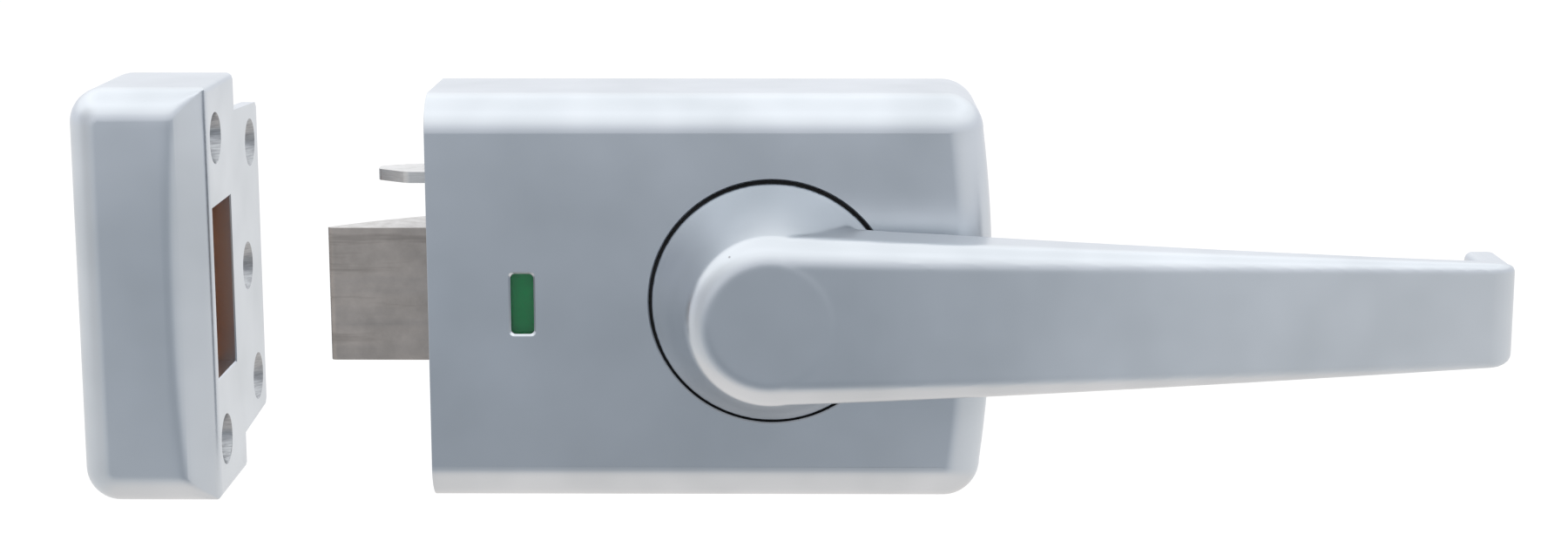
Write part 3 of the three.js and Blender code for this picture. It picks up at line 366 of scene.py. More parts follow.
def warmSteel():
    look = boltLook
    material, tree, shader = newFinish("warmSteel", 1.0, 0.42, look["light"])
    scuffs = noiseOf(tree, look["scuffScale"], look["scuffDetail"], look["scuffRoughness"])
    scuffed = spreadTo(tree, scuffs, 0, 1, *look["scuffRange"])
    base = colorBetween(tree, scuffed, look["light"], look["dark"])
    streaks = noiseOf(tree, look["streakScale"], look["streakDetail"], look["streakRoughness"],
                      look["streakStretch"])
    smears = spreadTo(tree, streaks, 0, look["smearShare"], *look["smearRange"])
    worn = colorBetween(tree, smears, base, look["smear"])
    pits = specksOf(tree, look["pitScale"], look["pitShare"], look["pitSoftness"])
    fill(tree, shader, {
        "Base Color": colorBetween(tree, pits, worn, look["pitColor"]),
        "Roughness": spreadTo(tree, streaks, look["roughLow"], look["roughHigh"])})
    grain = noiseOf(tree, look["grainScale"], look["grainDetail"])
    coarse = bumpFrom(tree, shader, grain, look["grainStrength"], look["grainDepth"])
    bumpFrom(tree, shader, pits, look["pitStrength"], look["pitDepth"], coarse)
    return material


brushGrain = {"scale": 420, "detail": 4, "roughness": 0.6, "stretch": (1, 1, 9),
              "strength": 0.15, "depth": 0.012 * mm}


def brushedMetal(name, light, dark, roughLow, roughHigh):
    look = brushGrain
    material, tree, shader = newFinish(name, 1.0, (roughLow + roughHigh) / 2, light)
    grain = noiseOf(tree, look["scale"], look["detail"], look["roughness"], look["stretch"])
    fill(tree, shader, {
        "Base Color": colorBetween(tree, spreadTo(tree, grain, 0, 1), light, dark),
        "Roughness": spreadTo(tree, grain, roughLow, roughHigh)})
    bumpFrom(tree, shader, grain, look["strength"], look["depth"])
    return material


castGrain = {"scale": 900, "detail": 3, "strength": 0.35, "depth": 0.03 * mm, "blotchScale": 75,
             "blotchDetail": 5, "patchScale": 180, "smoother": 0.06, "rougher": 0.08}
mouldedGrain = {"scale": 700, "detail": 2, "strength": 0.2, "depth": 0.02 * mm,
                "blotchScale": 700 / 6, "blotchDetail": 4, "patchScale": 700 / 3,
                "smoother": 0.05, "rougher": 0.07}


def grained(name, look, light, dark, metallic, rough, gloss=0.5):
    # a cast metal or a moulded plastic, blotched, with patches that are smoother or rougher
    material, tree, shader = newFinish(name, metallic, rough, light)
    blotch = spreadTo(tree, noiseOf(tree, look["blotchScale"], look["blotchDetail"]), 0, 1)
    patches = noiseOf(tree, look["patchScale"])
    fill(tree, shader, {
        "Specular IOR Level": gloss, "Base Color": colorBetween(tree, blotch, light, dark),
        "Roughness": spreadTo(tree, patches, rough - look["smoother"], rough + look["rougher"])})
    bumpFrom(tree, shader, noiseOf(tree, look["scale"], look["detail"]), look["strength"],
             look["depth"])
    return material


def clearLens():
    material, tree, shader = newFinish("clearLens", 0.0, 0.06, (0.95, 0.98, 0.97))
    fill(tree, shader, {
        "Transmission Weight": 1.0, "IOR": 1.49, "Specular IOR Level": 0.08,
        "Roughness": spreadTo(tree, noiseOf(tree, 300), 0.03, 0.12)})
    return material


finishes = {
    "satin_chrome": satinChrome(),
    "warm_steel": warmSteel(),
    "pale_steel": brushedMetal("paleSteel", (0.66, 0.67, 0.69), (0.52, 0.53, 0.55), 0.29, 0.40),
    "zinc_plate": grained(
        "zincPlate", castGrain, (0.58, 0.60, 0.62), (0.47, 0.49, 0.50), 1.0, 0.42),
    "spring_steel": brushedMetal("springSteel", (0.34, 0.35, 0.37), (0.24, 0.25, 0.26), 0.3, 0.42),
    "cam_brass": grained("camBrass", castGrain, (0.66, 0.50, 0.24), (0.52, 0.38, 0.17), 1.0, 0.36),
    "green_enamel": grained(
        "greenEnamel", mouldedGrain, (0.001, 0.37, 0.10), (0.001, 0.32, 0.085), 0.0, 0.45, 0.1),
    "red_enamel": grained(
        "redEnamel", mouldedGrain, (0.55, 0.012, 0.008), (0.47, 0.01, 0.006), 0.0, 0.45, 0.1),
    "clear_lens": clearLens(),
    "white_nylon": grained(
        "whiteNylon", mouldedGrain, (0.78, 0.77, 0.72), (0.71, 0.70, 0.65), 0.0, 0.5),
    "brown_plastic": grained(
        "brownPlastic", mouldedGrain, (0.50, 0.19, 0.045), (0.38, 0.135, 0.032), 0.0, 0.55, 0.15),
}
wornSteel = brushedMetal("wornSteel", (0.66, 0.66, 0.655), (0.56, 0.56, 0.555), 0.3, 0.42)
milledSteel = brushedMetal("milledSteel", (0.58, 0.57, 0.56), (0.48, 0.47, 0.46), 0.34, 0.44)
# a drilled finish for the strike's hole walls, made darker as painted shade for the holes
drilledShadeMetal = brushedMetal("drilledShadeMetal", (0.40, 0.42, 0.44), (0.28, 0.29, 0.31), 0.29, 0.4)
# painted shade: a near-black finish that stands in for the shade in the deep ring round the rose
paintedShadeMetal = grained("paintedShadeRecess", castGrain, (0.035, 0.037, 0.04), (0.02, 0.021, 0.023), 0.6, 0.7)
print("finishes ready:", len(finishes) + 4)


# Case: a die-cast shell with a flat left edge and a slightly bowed right side

case = {
    "wall": 2.5 * mm, "edgeRadius": 6.4 * mm, "cornerRadius": 6.5 * mm, "bow": 2.8 * mm,
    "leftBevel": 0.55 * mm, "rimBevel": 0.28 * mm, "roseGap": 0.5 * mm, "recess": 1.2 * mm,
    "bushHole": 10.8 * mm, "mouthGap": 0.3 * mm, "postRadius": 4 * mm, "postHole": 1.8 * mm,
    "postGap": 2.3 * mm,
}
caseLow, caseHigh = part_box("case_cover")
leverLow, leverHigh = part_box("lever_handle")
axis = Vector(joints["lever_turn"]["pos_m"])
coverScrews = [f"cover_screw_{number}" for number in range(1, 5)]


def caseBlock(name, inset, frontY, backY, levels):
    left, right = caseLow.x + inset, caseHigh.x - inset
    low, high = caseLow.z + inset, caseHigh.z - inset
    corner = case["cornerRadius"] - inset
    piece = addBox(name, (left, frontY, low), (right, backY, high))
    bevelEdges(piece, lambda a, b: min(a.x, b.x) > right - tiny and abs(a.z - b.z) < tiny,
               corner, 14)
    straight = high - corner
    sliceAt(piece, "Z", evenly(straight, levels))
    for vert in piece.data.vertices:
        if vert.co.x > 0:
            height = min(abs(vert.co.z), straight)
            vert.co.x -= case["bow"] * (height / caseHigh.z) ** 2
    return piece


def chamferedCutter(name, low, high, axisName, side, chamfer, corner=0.0):
    # a box whose end on one side flares out, so that it leaves a chamfered rim
    piece = addBox(name, low, high)
    along = "XYZ".index(axisName)
    if corner:
        bevelEdges(piece, lambda a, b: abs((a - b)[along]) > tiny, corner, 5)
    pick(piece, "FACE", lambda middle, normal: normal[along] * side > facing)
    move = Vector((0, 0, 0))
    move[along] = side * 2 * chamfer
    pull(*move)
    grow = [1 + 4 * chamfer / length for length in Vector(high) - Vector(low)]
    grow[along] = 1
    centre = (Vector(low) + Vector(high)) / 2
    centre[along] = (high if side > 0 else low)[along] + move[along]
    bpy.ops.transform.resize(value=grow, center_override=centre)
    done(piece)
    return piece


def caseMouth(node, name):
    # the opening in the flat edge that a latch slides through
    low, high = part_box(node)
    gap = case["mouthGap"]
    if node == "trigger_latch":
        low = Vector((low.x, low.y, high.z - trigger["thickness"]))
    inside = caseLow.x + case["wall"] + beyond
    return chamferedCutter(
        name, (caseLow.x + case["rimBevel"], low.y - gap, low.z - gap),
        (inside, high.y + gap, high.z + gap), "X", -1, case["rimBevel"])


def screwPost(node):
    low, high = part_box(node)
    middle = (low + high) / 2
    post = addBore("post", case["postRadius"], middle, caseLow.y + case["wall"] / 2,
                   caseHigh.y - case["postGap"], 40)
    hole = addBore("postHole", case["postHole"], middle, low.y - beyond, caseHigh.y, 24)
    return combine(post, [hole])


def caseCover():
    front, back, left = caseLow.y, caseHigh.y, caseLow.x
    piece = caseBlock("caseCover", 0, front, back, 18)

    def onRight(end):
        return end.x > caseHigh.x - case["cornerRadius"] - case["bow"] - tiny

    bevelEdges(piece, lambda a, b: onOutline(a, b, front, caseHigh.z, onRight),
               case["edgeRadius"], 16)
    bevelEdges(piece, lambda a, b: max(a.x, b.x) < left + tiny and min(a.y, b.y) < back - tiny,
               case["leftBevel"], 4)
    cavity = caseBlock("cavity", case["wall"], front + case["wall"], back + beyond, 6)
    combine(piece, [cavity])
    boreRadius = leverHigh.z + case["roseGap"]
    rim, recess = case["rimBevel"], front + case["recess"]
    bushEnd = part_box("lever_bush")[1].y
    combine(piece, [
        caseMouth("latch_bolt", "boltMouth"),
        caseMouth("trigger_latch", "triggerMouth"),
        addBore("bore", boreRadius, axis, front - beyond, recess, 128),
        addBore("boreRim", boreRadius + 2 * rim, axis, front - rim, front + rim, 128, boreRadius),
        addBore("bushHole", case["bushHole"], axis, front, bushEnd, 64),
        chamferedCutter("window", *windowSpan(-window["lensMargin"], window["rim"]),
                        "Y", -1, window["rim"], window["corner"]),
        roundedBox("lensSeat", *windowSpan(window["seatGap"], window["sill"])),
    ])
    combine(piece, [screwPost(node) for node in coverScrews], "UNION")
    tidyMesh(piece)
    handOver(piece, "lock_case", "case_cover", angle=32)

    def inRecess(middle, normal):
        # painted shade: the narrow ring between the case and the rose gets a near-black finish that stands in for
        # the shade deep in the gap
        away = hypot(middle.x - axis.x, middle.z)
        return front + rim < middle.y < recess + tiny and away < boreRadius + tiny

    # painted shade: the ring's faces get the near-black finish
    paintFaces(piece, paintedShadeMetal, inRecess)


# Window: a small pane in the case with the flag behind it

window = {"lensMargin": 0.7 * mm, "seatGap": 0.3 * mm, "sill": 0.8 * mm, "corner": 0.75 * mm,
          "rim": 0.35 * mm, "paneBevel": 0.12 * mm, "cutEnd": -20 * mm}
lensLow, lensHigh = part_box("window_lens")


def windowSpan(grow, depth):
    # the corners of a cutter that is wider than the pane and starts below the case's front
    return ((lensLow.x - grow, caseLow.y + depth, lensLow.z - grow),
            (lensHigh.x + grow, window["cutEnd"], lensHigh.z + grow))


def roundedBox(name, low, high):
    piece = addBox(name, low, high)
    bevelEdges(piece, lambda a, b: abs(a.y - b.y) > tiny, window["corner"], 4)
    return piece


def windowPane():
    piece = roundedBox("windowPane", lensLow, lensHigh)
    bevelEdges(piece, lambda a, b: max(a.y, b.y) < lensLow.y + tiny, window["paneBevel"], 2)
    handOver(piece, "lock_case", "window_lens", angle=32)


# Lever: a round rose, a flared neck and head, and a long arm with a turned back end

lever = {
    "rose": 21 * mm, "roseEdge": 0.2 * mm, "roseRise": 0.7 * mm, "roseClearance": 0.3 * mm,
    "head": 14.9 * mm, "headRounding": 4.8 * mm, "slope": 18, "flarePower": 4,
    "sweep": 8 * mm, "sweepStart": 13 * mm, "sweepPower": 1.5, "thinningPower": 1.25,
    "headHeight": 29.5 * mm, "tipHeight": 18.2 * mm, "headThickness": 20 * mm,
    "tipThickness": 4.5 * mm, "headEdge": 4.6 * mm, "tipEdge": 1.3 * mm, "bend": 3 * mm,
    "returnDepth": 19 * mm, "returnThickness": 5.6 * mm, "returnDrop": 1 * mm,
    "voxel": 0.42 * mm, "hub": 8 * mm, "holeGap": 0.3 * mm, "smoothAngle": 38,
}
# smoothed zones: the steps, and rows of a measure, the mm where the zone begins or ends, and
# the mm over which it grows, or shrinks if they are negative
easedZones = {
    "junction": (60, (("side", 2, 5), ("away", 12, 1.5), ("away", 32, -8), ("depth", 7, 3),
                      ("depth", 17.2, -1))),
    "rim": (10, (("away", 13, 3), ("away", 22, -0.5), ("depth", 17.2, 1.5))),
}


def turnedPiece(name, rings, sides=128, centre=None):
    # a turned shape about an axis along Y: a disc pulled on, ring after ring
    x, z = (centre or axis).xz
    radius, depth = rings[0]
    piece = newPiece(name, bpy.ops.mesh.primitive_circle_add, vertices=sides, radius=radius,
                     fill_type="NGON", location=(x, depth, z), rotation=turnTo["Y"])
    edit(piece, "FACE", "SELECT")
    for nextRadius, nextDepth in rings[1:]:
        pull(0, nextDepth - depth, 0)
        share = nextRadius / radius
        bpy.ops.transform.resize(value=(share, 1, share), center_override=(x, nextDepth, z))
        radius, depth = nextRadius, nextDepth
    return doneOutward(piece)


def roundedRings(radius, front, rounding, start, steps):
    # the rings of an edge that is rounded from an angle on to the flat front
    angles = [start + (pi / 2 - start) * step / steps for step in range(1, steps + 1)]
    return [(radius - rounding * (1 - cos(angle)), front + rounding * (1 - sin(angle)))
            for angle in angles]


def leverNeck(steps=26):
    rose, edge, rounding = lever["rose"], lever["roseEdge"], lever["headRounding"]
    roseBack = caseLow.y + case["recess"] - lever["roseClearance"]
    roseFront = caseLow.y - lever["roseRise"]
    slope = radians(lever["slope"])
    neckFront = leverLow.y + rounding * (1 - sin(slope))
    neckEnd = lever["head"] - rounding * (1 - cos(slope))
    rings = [(rose, roseBack), (rose, roseFront + edge)]
    rings += roundedRings(rose, roseFront, edge, 0, 4)
    straight = tan(slope) * (roseFront - neckFront)
    flare = rose - edge - neckEnd - straight
    for step in range(1, steps + 1):
        share = step / steps
        radius = neckEnd + straight * (1 - share) + flare * (1 - share) ** lever["flarePower"]
        rings.append((radius, roseFront + (neckFront - roseFront) * share))
    rings += roundedRings(lever["head"], leverLow.y, rounding, slope, 12)
    return turnedPiece("leverHandle", rings)


def armSection(place, direction, thickness, share, drop, cornerSteps=7):
    # a rounded rectangle across the arm, as a list of points
    height = lever["tipHeight"] + (lever["headHeight"] - lever["tipHeight"]) * (1 - share)
    height -= 2 * drop
    edge = lever["headEdge"] + (lever["tipEdge"] - lever["headEdge"]) * share
    inward = Vector((-direction.y, direction.x, 0))
    points = []
    for corner, (across, up) in enumerate(((1, 1), (-1, 1), (-1, -1), (1, -1))):
        for step in range(cornerSteps + 1):
            angle = pi / 2 * (corner + step / cornerSteps)
            out = across * (thickness / 2 - edge) + edge * cos(angle)
            rise = up * (height / 2 - edge) + edge * sin(angle)
            points.append(place + inward * out + Vector((0, 0, rise)))
    return points


def armStations(steps=40, bendSteps=10):
    # rows of the arm's middle, its thickness, its share of the way and its drop in height
    headFront, tipThickness = leverLow.y, lever["tipThickness"]
    bendX = leverHigh.x - tipThickness / 2 - lever["bend"]
    stations = []
    for step in range(steps + 1):
        share = step / steps
        thinning = (1 - share) ** lever["thinningPower"]
        thickness = tipThickness + (lever["headThickness"] - tipThickness) * thinning
        x = axis.x + (bendX - axis.x) * share
        swept = max(0, x - axis.x - lever["sweepStart"]) / (bendX - axis.x - lever["sweepStart"])
        front = headFront + lever["sweep"] * swept ** lever["sweepPower"]
        stations.append((Vector((x, front + thickness / 2, 0)), thickness, share, 0))
    outside = lever["bend"] + tipThickness / 2
    bendY = headFront + lever["sweep"] + outside
    for step in range(1, bendSteps + 1):
        share = step / bendSteps
        thickness = tipThickness + (lever["returnThickness"] - tipThickness) * share
        radius = outside - thickness / 2
        angle = pi / 2 * share
        place = Vector((bendX + radius * sin(angle), bendY - radius * cos(angle), 0))
        stations.append((place, thickness, 1, lever["returnDrop"] * (1 - cos(angle))))
    end = headFront + lever["sweep"] + lever["returnDepth"]
    # the rounded end: how far each row is from the end, and its share of the thinning
    for back, thinner in ((lever["tipEdge"], 0), (0.3 * lever["tipEdge"], 0.5), (0, 1)):
        thickness = lever["returnThickness"] - thinner * lever["tipEdge"]
        stations.append((Vector((bendX + radius, end - back, 0)), thickness, 1,
                         lever["returnDrop"] * (1 + thinner / 3)))
    return stations


def leverArm():
    # the first section is filled, then pulled along the arm and laid on each next section
    stations = armStations()
    sections = []
    for order, (place, thickness, share, drop) in enumerate(stations):
        before = stations[max(order - 1, 0)][0]
        after = stations[min(order + 1, len(stations) - 1)][0]
        sections.append(armSection(place, (after - before).normalized(), thickness, share, drop))
    piece = newPiece("leverArm", bpy.ops.mesh.primitive_circle_add, vertices=len(sections[0]),
                     radius=1 * mm, fill_type="NGON")
    mesh = edit(piece, "FACE", "SELECT")
    mesh.verts.ensure_lookup_table()
    for vert, point in zip(mesh.verts, sections[0]):
        vert.co = point
    for section in sections[1:]:
        pull(1 * mm, 0, 0)
        mesh = bmesh.from_edit_mesh(piece.data)
        face = next(face for face in mesh.faces if face.select)
        for loop, point in zip(face.loops, section):
            loop.vert.co = point
    return doneOutward(piece)


def easeZone(piece, name):
    steps, limits = easedZones[name]
    group = piece.vertex_groups.new(name=name)
    for vert in piece.data.vertices:
        side = vert.co.x - axis.x
        measures = {"side": side, "away": hypot(side, vert.co.z),
                    "depth": vert.co.y - leverLow.y}
        share = min((measures[key] - start * mm) / (length * mm) for key, start, length in limits)
        if share > 0:
            group.add([vert.index], min(1, share), "REPLACE")
    useModifier(piece, "SMOOTH", factor=0.5, iterations=steps, vertex_group=name)


def leverHandle():
    piece = leverNeck()
    combine(piece, [leverArm()], "UNION")
    useModifier(piece, "REMESH", mode="VOXEL", voxel_size=lever["voxel"], use_smooth_shade=True)
    # the crease where the arm leaves the neck, then the ripples of the remeshing on the rose
    for name in easedZones:
        easeZone(piece, name)
    # the grub screw comes in from the lower right, at right angles to the spindle's flat
    low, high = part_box("lever_grub_screw")
    radius = (high.y - low.y) / 2 + lever["holeGap"]
    start = Vector((axis.x, (low.y + high.y) / 2, 0))
    end = start + slant * (lever["rose"] + radius)
    combine(piece, [addRod("grubHole", radius, start, end, "slant", 40)])
    hub = addBore("hub", lever["hub"], axis, caseLow.y, leverHigh.y, 64)
    combine(piece, [hub], "UNION")
    low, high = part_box("lever_spindle")
    gap = lever["holeGap"]
    combine(piece, [addBore("socket", high.z + gap * sqrt(2), axis, low.y - gap,
                            leverHigh.y + beyond, 4)])
    tidyMesh(piece)
    bpy.ops.object.shade_smooth_by_angle(angle=radians(lever["smoothAngle"]))
    handOver(piece, "lever", "lever_handle", angle=None)


# Latches

bolt = {
    "tipFlat": 0.8 * mm, "bevelLength": 17 * mm, "bulge": 1 * mm, "tipChamfer": 0.75 * mm,
    "edge": 0.25 * mm, "slotDepth": 9.3 * mm, "holeGap": 0.3 * mm, "bevelSteps": 14,
}


def bent(share, first, middle, last):
    # a number on its way from first to last, drawn towards middle
    return (1 - share) ** 2 * first + 2 * share * (1 - share) * middle + share ** 2 * last


def latchBolt():
    # the bevel is drawn out of a box step by step, as a gentle curve
    low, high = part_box("latch_bolt")
    bevelEnd, tipBack = low.x + bolt["bevelLength"], low.y + bolt["tipFlat"]
    piece = addBox("latchBolt", (bevelEnd, low.y, low.z), high)
    middle = Vector((low.x + bolt["bevelLength"] / 2 - bolt["bulge"],
                     (high.y + tipBack) / 2 + bolt["bulge"]))
    x, y = bevelEnd, high.y
    for step in range(1, bolt["bevelSteps"] + 1):
        share = step / bolt["bevelSteps"]
        nextX = bent(share, bevelEnd, middle.x, low.x)
        nextY = bent(share, high.y, middle.y, tipBack)
        pick(piece, "FACE", lambda centre, normal: normal.x < -facing and centre.x < x + tiny)
        pull(nextX - x, 0, 0)
        done(piece)
        pick(piece, "VERT", lambda co: co.x < nextX + tiny and co.y > y - tiny)
        bpy.ops.transform.translate(value=(0, nextY - y, 0))
        done(piece)
        x, y = nextX, nextY
    bevelEdges(piece, lambda a, b: max(a.x, b.x) < low.x + tiny and max(a.y, b.y) < low.y + tiny,
               bolt["tipChamfer"], 2)
    tailLow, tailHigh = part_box("bolt_tail")
    cutters = [addBox("tailSlot", (high.x - bolt["slotDepth"], tailLow.y, low.z - beyond),
                      (high.x + beyond, tailHigh.y, high.z + beyond))]
    for name in ("bolt_rivet_1", "bolt_rivet_2"):
        rivetLow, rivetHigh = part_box(name)
        centre = (rivetLow + rivetHigh) / 2
        radius = (rivetHigh.x - rivetLow.x) / 2 + bolt["holeGap"]
        cutters.append(addBore("rivetHole", radius, centre, low.y - beyond, high.y + beyond, 32))
    softenEdges(piece, bolt["edge"])
    combine(piece, cutters)
    handOver(piece, "bolt", "latch_bolt", angle=25)
    paintFaces(piece, milledSteel, lambda centre, normal: abs(normal.z) > facing)


trigger = {"thickness": 2 * mm, "edge": 0.22 * mm, "nose": 5.4 * mm, "corner": 0.7 * mm}


def triggerLatch():
    # the plate's outline is merged from the CAD solid and its edges are rounded
    piece = mergedCopy("trigger_latch")
    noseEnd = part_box("trigger_latch")[0].x + trigger["nose"] + tiny

    def uprightAtNose(a, b):
        return abs(a.z - b.z) > trigger["thickness"] - tiny and max(a.x, b.x) < noseEnd

    bevelEdges(piece, uprightAtNose, trigger["corner"], 3)
    softenEdges(piece, trigger["edge"])
    handOver(piece, "trigger", "trigger_latch", material=wornSteel)


# Strike: a cast box with a ramp, a flange round the corner of the frame, and screw holes

strike = {
    "edgeRadius": 5.5 * mm, "cornerRadius": 6.2 * mm, "wall": 3 * mm, "sideWall": 3.5 * mm,
    "rampDrop": 4 * mm, "rampMiddle": 6.6 * mm, "rampEnd": 4.4 * mm, "rampSoftness": 0.35 * mm,
    "rampReach": 12 * mm, "flangeThickness": 2.5 * mm, "flangeHeight": 60.4 * mm,
    "flangeTaper": 1 * mm, "flangeCorner": 1 * mm, "slotHeight": 30.6 * mm,
    "slotFront": 21 * mm, "slotBack": 5.5 * mm, "slotEdge": 0.25 * mm, "boxHole": 4.6 * mm,
    "boxHoleDepth": 5 * mm, "screwHole": 2.6 * mm, "screwHoleEnd": 3 * mm, "sink": 4.45 * mm,
    "sideRadius": 1.2 * mm, "pocketMargin": 1.7 * mm, "paintEnd": 0.05 * mm,
    "paintReach": 13 * mm, "rows": 48, "turns": 8,
}
# where the ramp is sliced, in mm from the right side
rampColumns = (1.7, 2.5, 3.2, 3.9, 4.5, 5.0, 5.5, 6.0, 6.4, 6.8, 7.3, 8)
# the middles of the round holes, as rows of y and z in mm
boxHoles = ((-16.3, -27.3), (-16.3, 27.3))
sinkHoles = ((13.3, 22.4), (7.5, 0), (13.3, -22.4))
strikeLow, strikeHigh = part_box("strike_keep")


def rampFront(x, z):
    # depth of the ramp's plane at a place on the strike
    share = min(abs(z) / strikeHigh.z, 1)
    width = strike["rampEnd"] + (strike["rampMiddle"] - strike["rampEnd"]) * (1 - share ** 2)
    return strikeLow.y + strike["rampDrop"] * (1 + (x - strikeHigh.x) / width)


def strikeBlank():
    low, high = Vector(strikeLow), Vector((strikeHigh.x, 0, strikeHigh.z))
    piece = addBox("strikeKeep", low, high)
    bevelEdges(piece, lambda a, b: max(a.x, b.x) < low.x + tiny and abs(a.z - b.z) < tiny,
               strike["cornerRadius"], 12)
    roundEnd = low.x + strike["cornerRadius"] + tiny
    bevelEdges(piece, lambda a, b: onOutline(a, b, low.y, high.z, lambda end: end.x < roundEnd),
               strike["edgeRadius"], 14)
    turns, side, flangeHalf = strike["turns"], strike["sideRadius"], strike["flangeHeight"] / 2
    levels = evenly(high.z - strike["edgeRadius"], strike["rows"])
    sliceAt(piece, "Z", levels + [flangeHalf, -flangeHalf])
    columns = [side * (1 - sin(pi / 2 * turn / turns)) for turn in range(turns)]
    columns += [width * mm for width in rampColumns]
    sliceAt(piece, "X", [high.x - column for column in columns])
    for vert in piece.data.vertices:
        if vert.co.y < -strike["slotFront"] and vert.co.x > high.x - strike["rampReach"]:
            # the deeper one of the rounded front and the ramp, with a soft change between them
            plane, soft = rampFront(vert.co.x, vert.co.z), strike["rampSoftness"]
            vert.co.y = plane + soft * log1p(exp((vert.co.y - plane) / soft))
        past = vert.co.x - high.x + side
        if past > 0:
            limit = high.z - side + sqrt(max(side ** 2 - past ** 2, 0))
            vert.co.z = max(-limit, min(limit, vert.co.z))
    return piece


def addFlange(piece):
    # the back of the box is pulled out behind its right side, and its end is drawn in
    thick, half = strike["flangeThickness"], strike["flangeHeight"] / 2
    corner, right, back = strike["flangeCorner"], strikeHigh.x, strikeHigh.y
    pick(piece, "FACE", lambda centre, normal: normal.y > facing and centre.x > right - thick
         and abs(centre.z) < half)
    pull(0, back - corner, 0)
    pull(0, corner, 0)
    done(piece)
    for vert in piece.data.vertices:
        if vert.co.y > tiny:
            limit = half - strike["flangeTaper"] * min(vert.co.y / (back - corner), 1)
            if vert.co.y > back - tiny:
                limit -= corner
            vert.co.z = max(-limit, min(limit, vert.co.z))


def strikeHoles():
    # each kind of hole is cut by rods along X, as rows of name, radius, the two ends from the
    # right side, number of sides, and the radius at the second end
    right, edge, flange = strikeHigh.x, strike["slotEdge"], strike["flangeThickness"]
    wide, shank = strike["boxHole"], strike["screwHole"]
    sunk = strike["sink"] - shank
    boxRods = (("boxHole", shank + edge, -strike["boxHoleDepth"], edge, 64, wide),
               ("boxHoleRim", wide - 2 * edge, -2 * edge, 2 * edge, 64, wide + 2 * edge),
               ("screwHole", shank, strikeLow.x - beyond - right, -strike["screwHoleEnd"], 40,
                shank))
    sinkRods = (("shankHole", shank, -flange - beyond, beyond, 48, shank),
                ("sink", shank, -sunk, sunk, 64, strike["sink"] + sunk))
    cutters = []
    for places, rods in ((boxHoles, boxRods), (sinkHoles, sinkRods)):
        for y, z in places:
            for name, radius, start, end, sides, endRadius in rods:
                ends = [(right + x, y * mm, z * mm) for x in (start, end)]
                cutters.append(addRod(name, radius, *ends, "X", sides, endRadius))
    return cutters


def inHole(centre, normal):
    # whether a face lies in one of the round holes, below its rim; these faces get a darker drilled finish, made
    # darker also as painted shade
    depth = strikeHigh.x - centre.x
    below = strike["paintEnd"] <= depth < strike["paintReach"] and abs(normal.x) < facing
    return below and any(hypot(centre.y - y * mm, centre.z - z * mm) < strike["boxHole"]
                         for y, z in boxHoles + sinkHoles)


def strikeKeep():
    piece = strikeBlank()
    addFlange(piece)
    right, wall, sideWall = strikeHigh.x, strike["wall"], strike["sideWall"]
    half, edge = strike["slotHeight"] / 2, strike["slotEdge"]
    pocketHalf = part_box("strike_liner")[1].z + strike["pocketMargin"]
    pocket = addBox("pocket", (strikeLow.x + wall, strikeLow.y + wall, -pocketHalf),
                    (right - sideWall, beyond, pocketHalf))
    slot = chamferedCutter("slot", (right - sideWall - beyond, -strike["slotFront"], -half),
                           (right - edge, -strike["slotBack"], half), "X", 1, edge)
    combine(piece, [pocket, slot, *strikeHoles()])
    tidyMesh(piece)
    handOver(piece, "strike", "strike_keep")
    # drilled finish and painted shade: the hole walls get the darker drilled finish
    paintFaces(piece, drilledShadeMetal, inHole)


# Plates, cams and the like keep the CAD outline and get rounded edges, given here in mm

softParts = {
    "lock_case": {"bolt_guide_plate": 0.15, "lever_bush": 0.2, "slide_pin_1": 0.12,
                  "slide_pin_2": 0.12},
    "lever": {"lever_spindle": 0.25, "retaining_ring": 0.12, "drive_cam": 0.3},
    "bolt": {"bolt_tail": 0.2, "drive_pin": 0.15},
    "detent": {"deadlock_detent": 0.25},
    "key_turn": {"key_cam": 0.25},
    "lock_slide": {"locking_slide": 0.15, "flag_green": 0.08, "flag_red": 0.08},
    "strike": {"strike_liner": 0.25},
}


def softenedCopies():
    for body, parts in softParts.items():
        for node, edge in parts.items():
            piece = mergedCopy(node)
            softenEdges(piece, edge * mm)
            tidyMesh(piece)
            handOver(piece, body, node)


plate = {"edge": 0.2 * mm, "sink": 4.4 * mm, "hole": 2.7 * mm, "front": -2 * mm,
         "leftHoles": (-39 * mm, 17 * mm), "rightHoles": (36 * mm, 14 * mm)}


def backPlate():
    # the four wood screw holes are countersunk from the inside
    piece = mergedCopy("back_plate")
    softenEdges(piece, plate["edge"])
    depth = plate["sink"] - plate["hole"]
    sinks = []
    for x, height in (plate["leftHoles"], plate["rightHoles"]):
        for z in (-height, height):
            sinks.append(addBore("sink", plate["sink"] + depth / 2, Vector((x, 0, z)),
                                 plate["front"] - depth / 2, plate["front"] + depth, 48,
                                 plate["hole"]))
    combine(piece, sinks)
    handOver(piece, "lock_case", "back_plate")


# Pins, rods and screws

def plainPin(node, body, axisName, edge):
    low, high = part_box(node)
    middle = (low + high) / 2
    along = "XYZ".index(axisName)
    start, end = middle.copy(), middle.copy()
    start[along], end[along] = low[along], high[along]
    across = [high[side] - low[side] for side in range(3) if side != along]
    piece = addRod(pieceName(node), min(across) / 2, start, end, axisName)
    softenEdges(piece, edge, segments=3, angle=60)
    handOver(piece, body, node, angle=40)


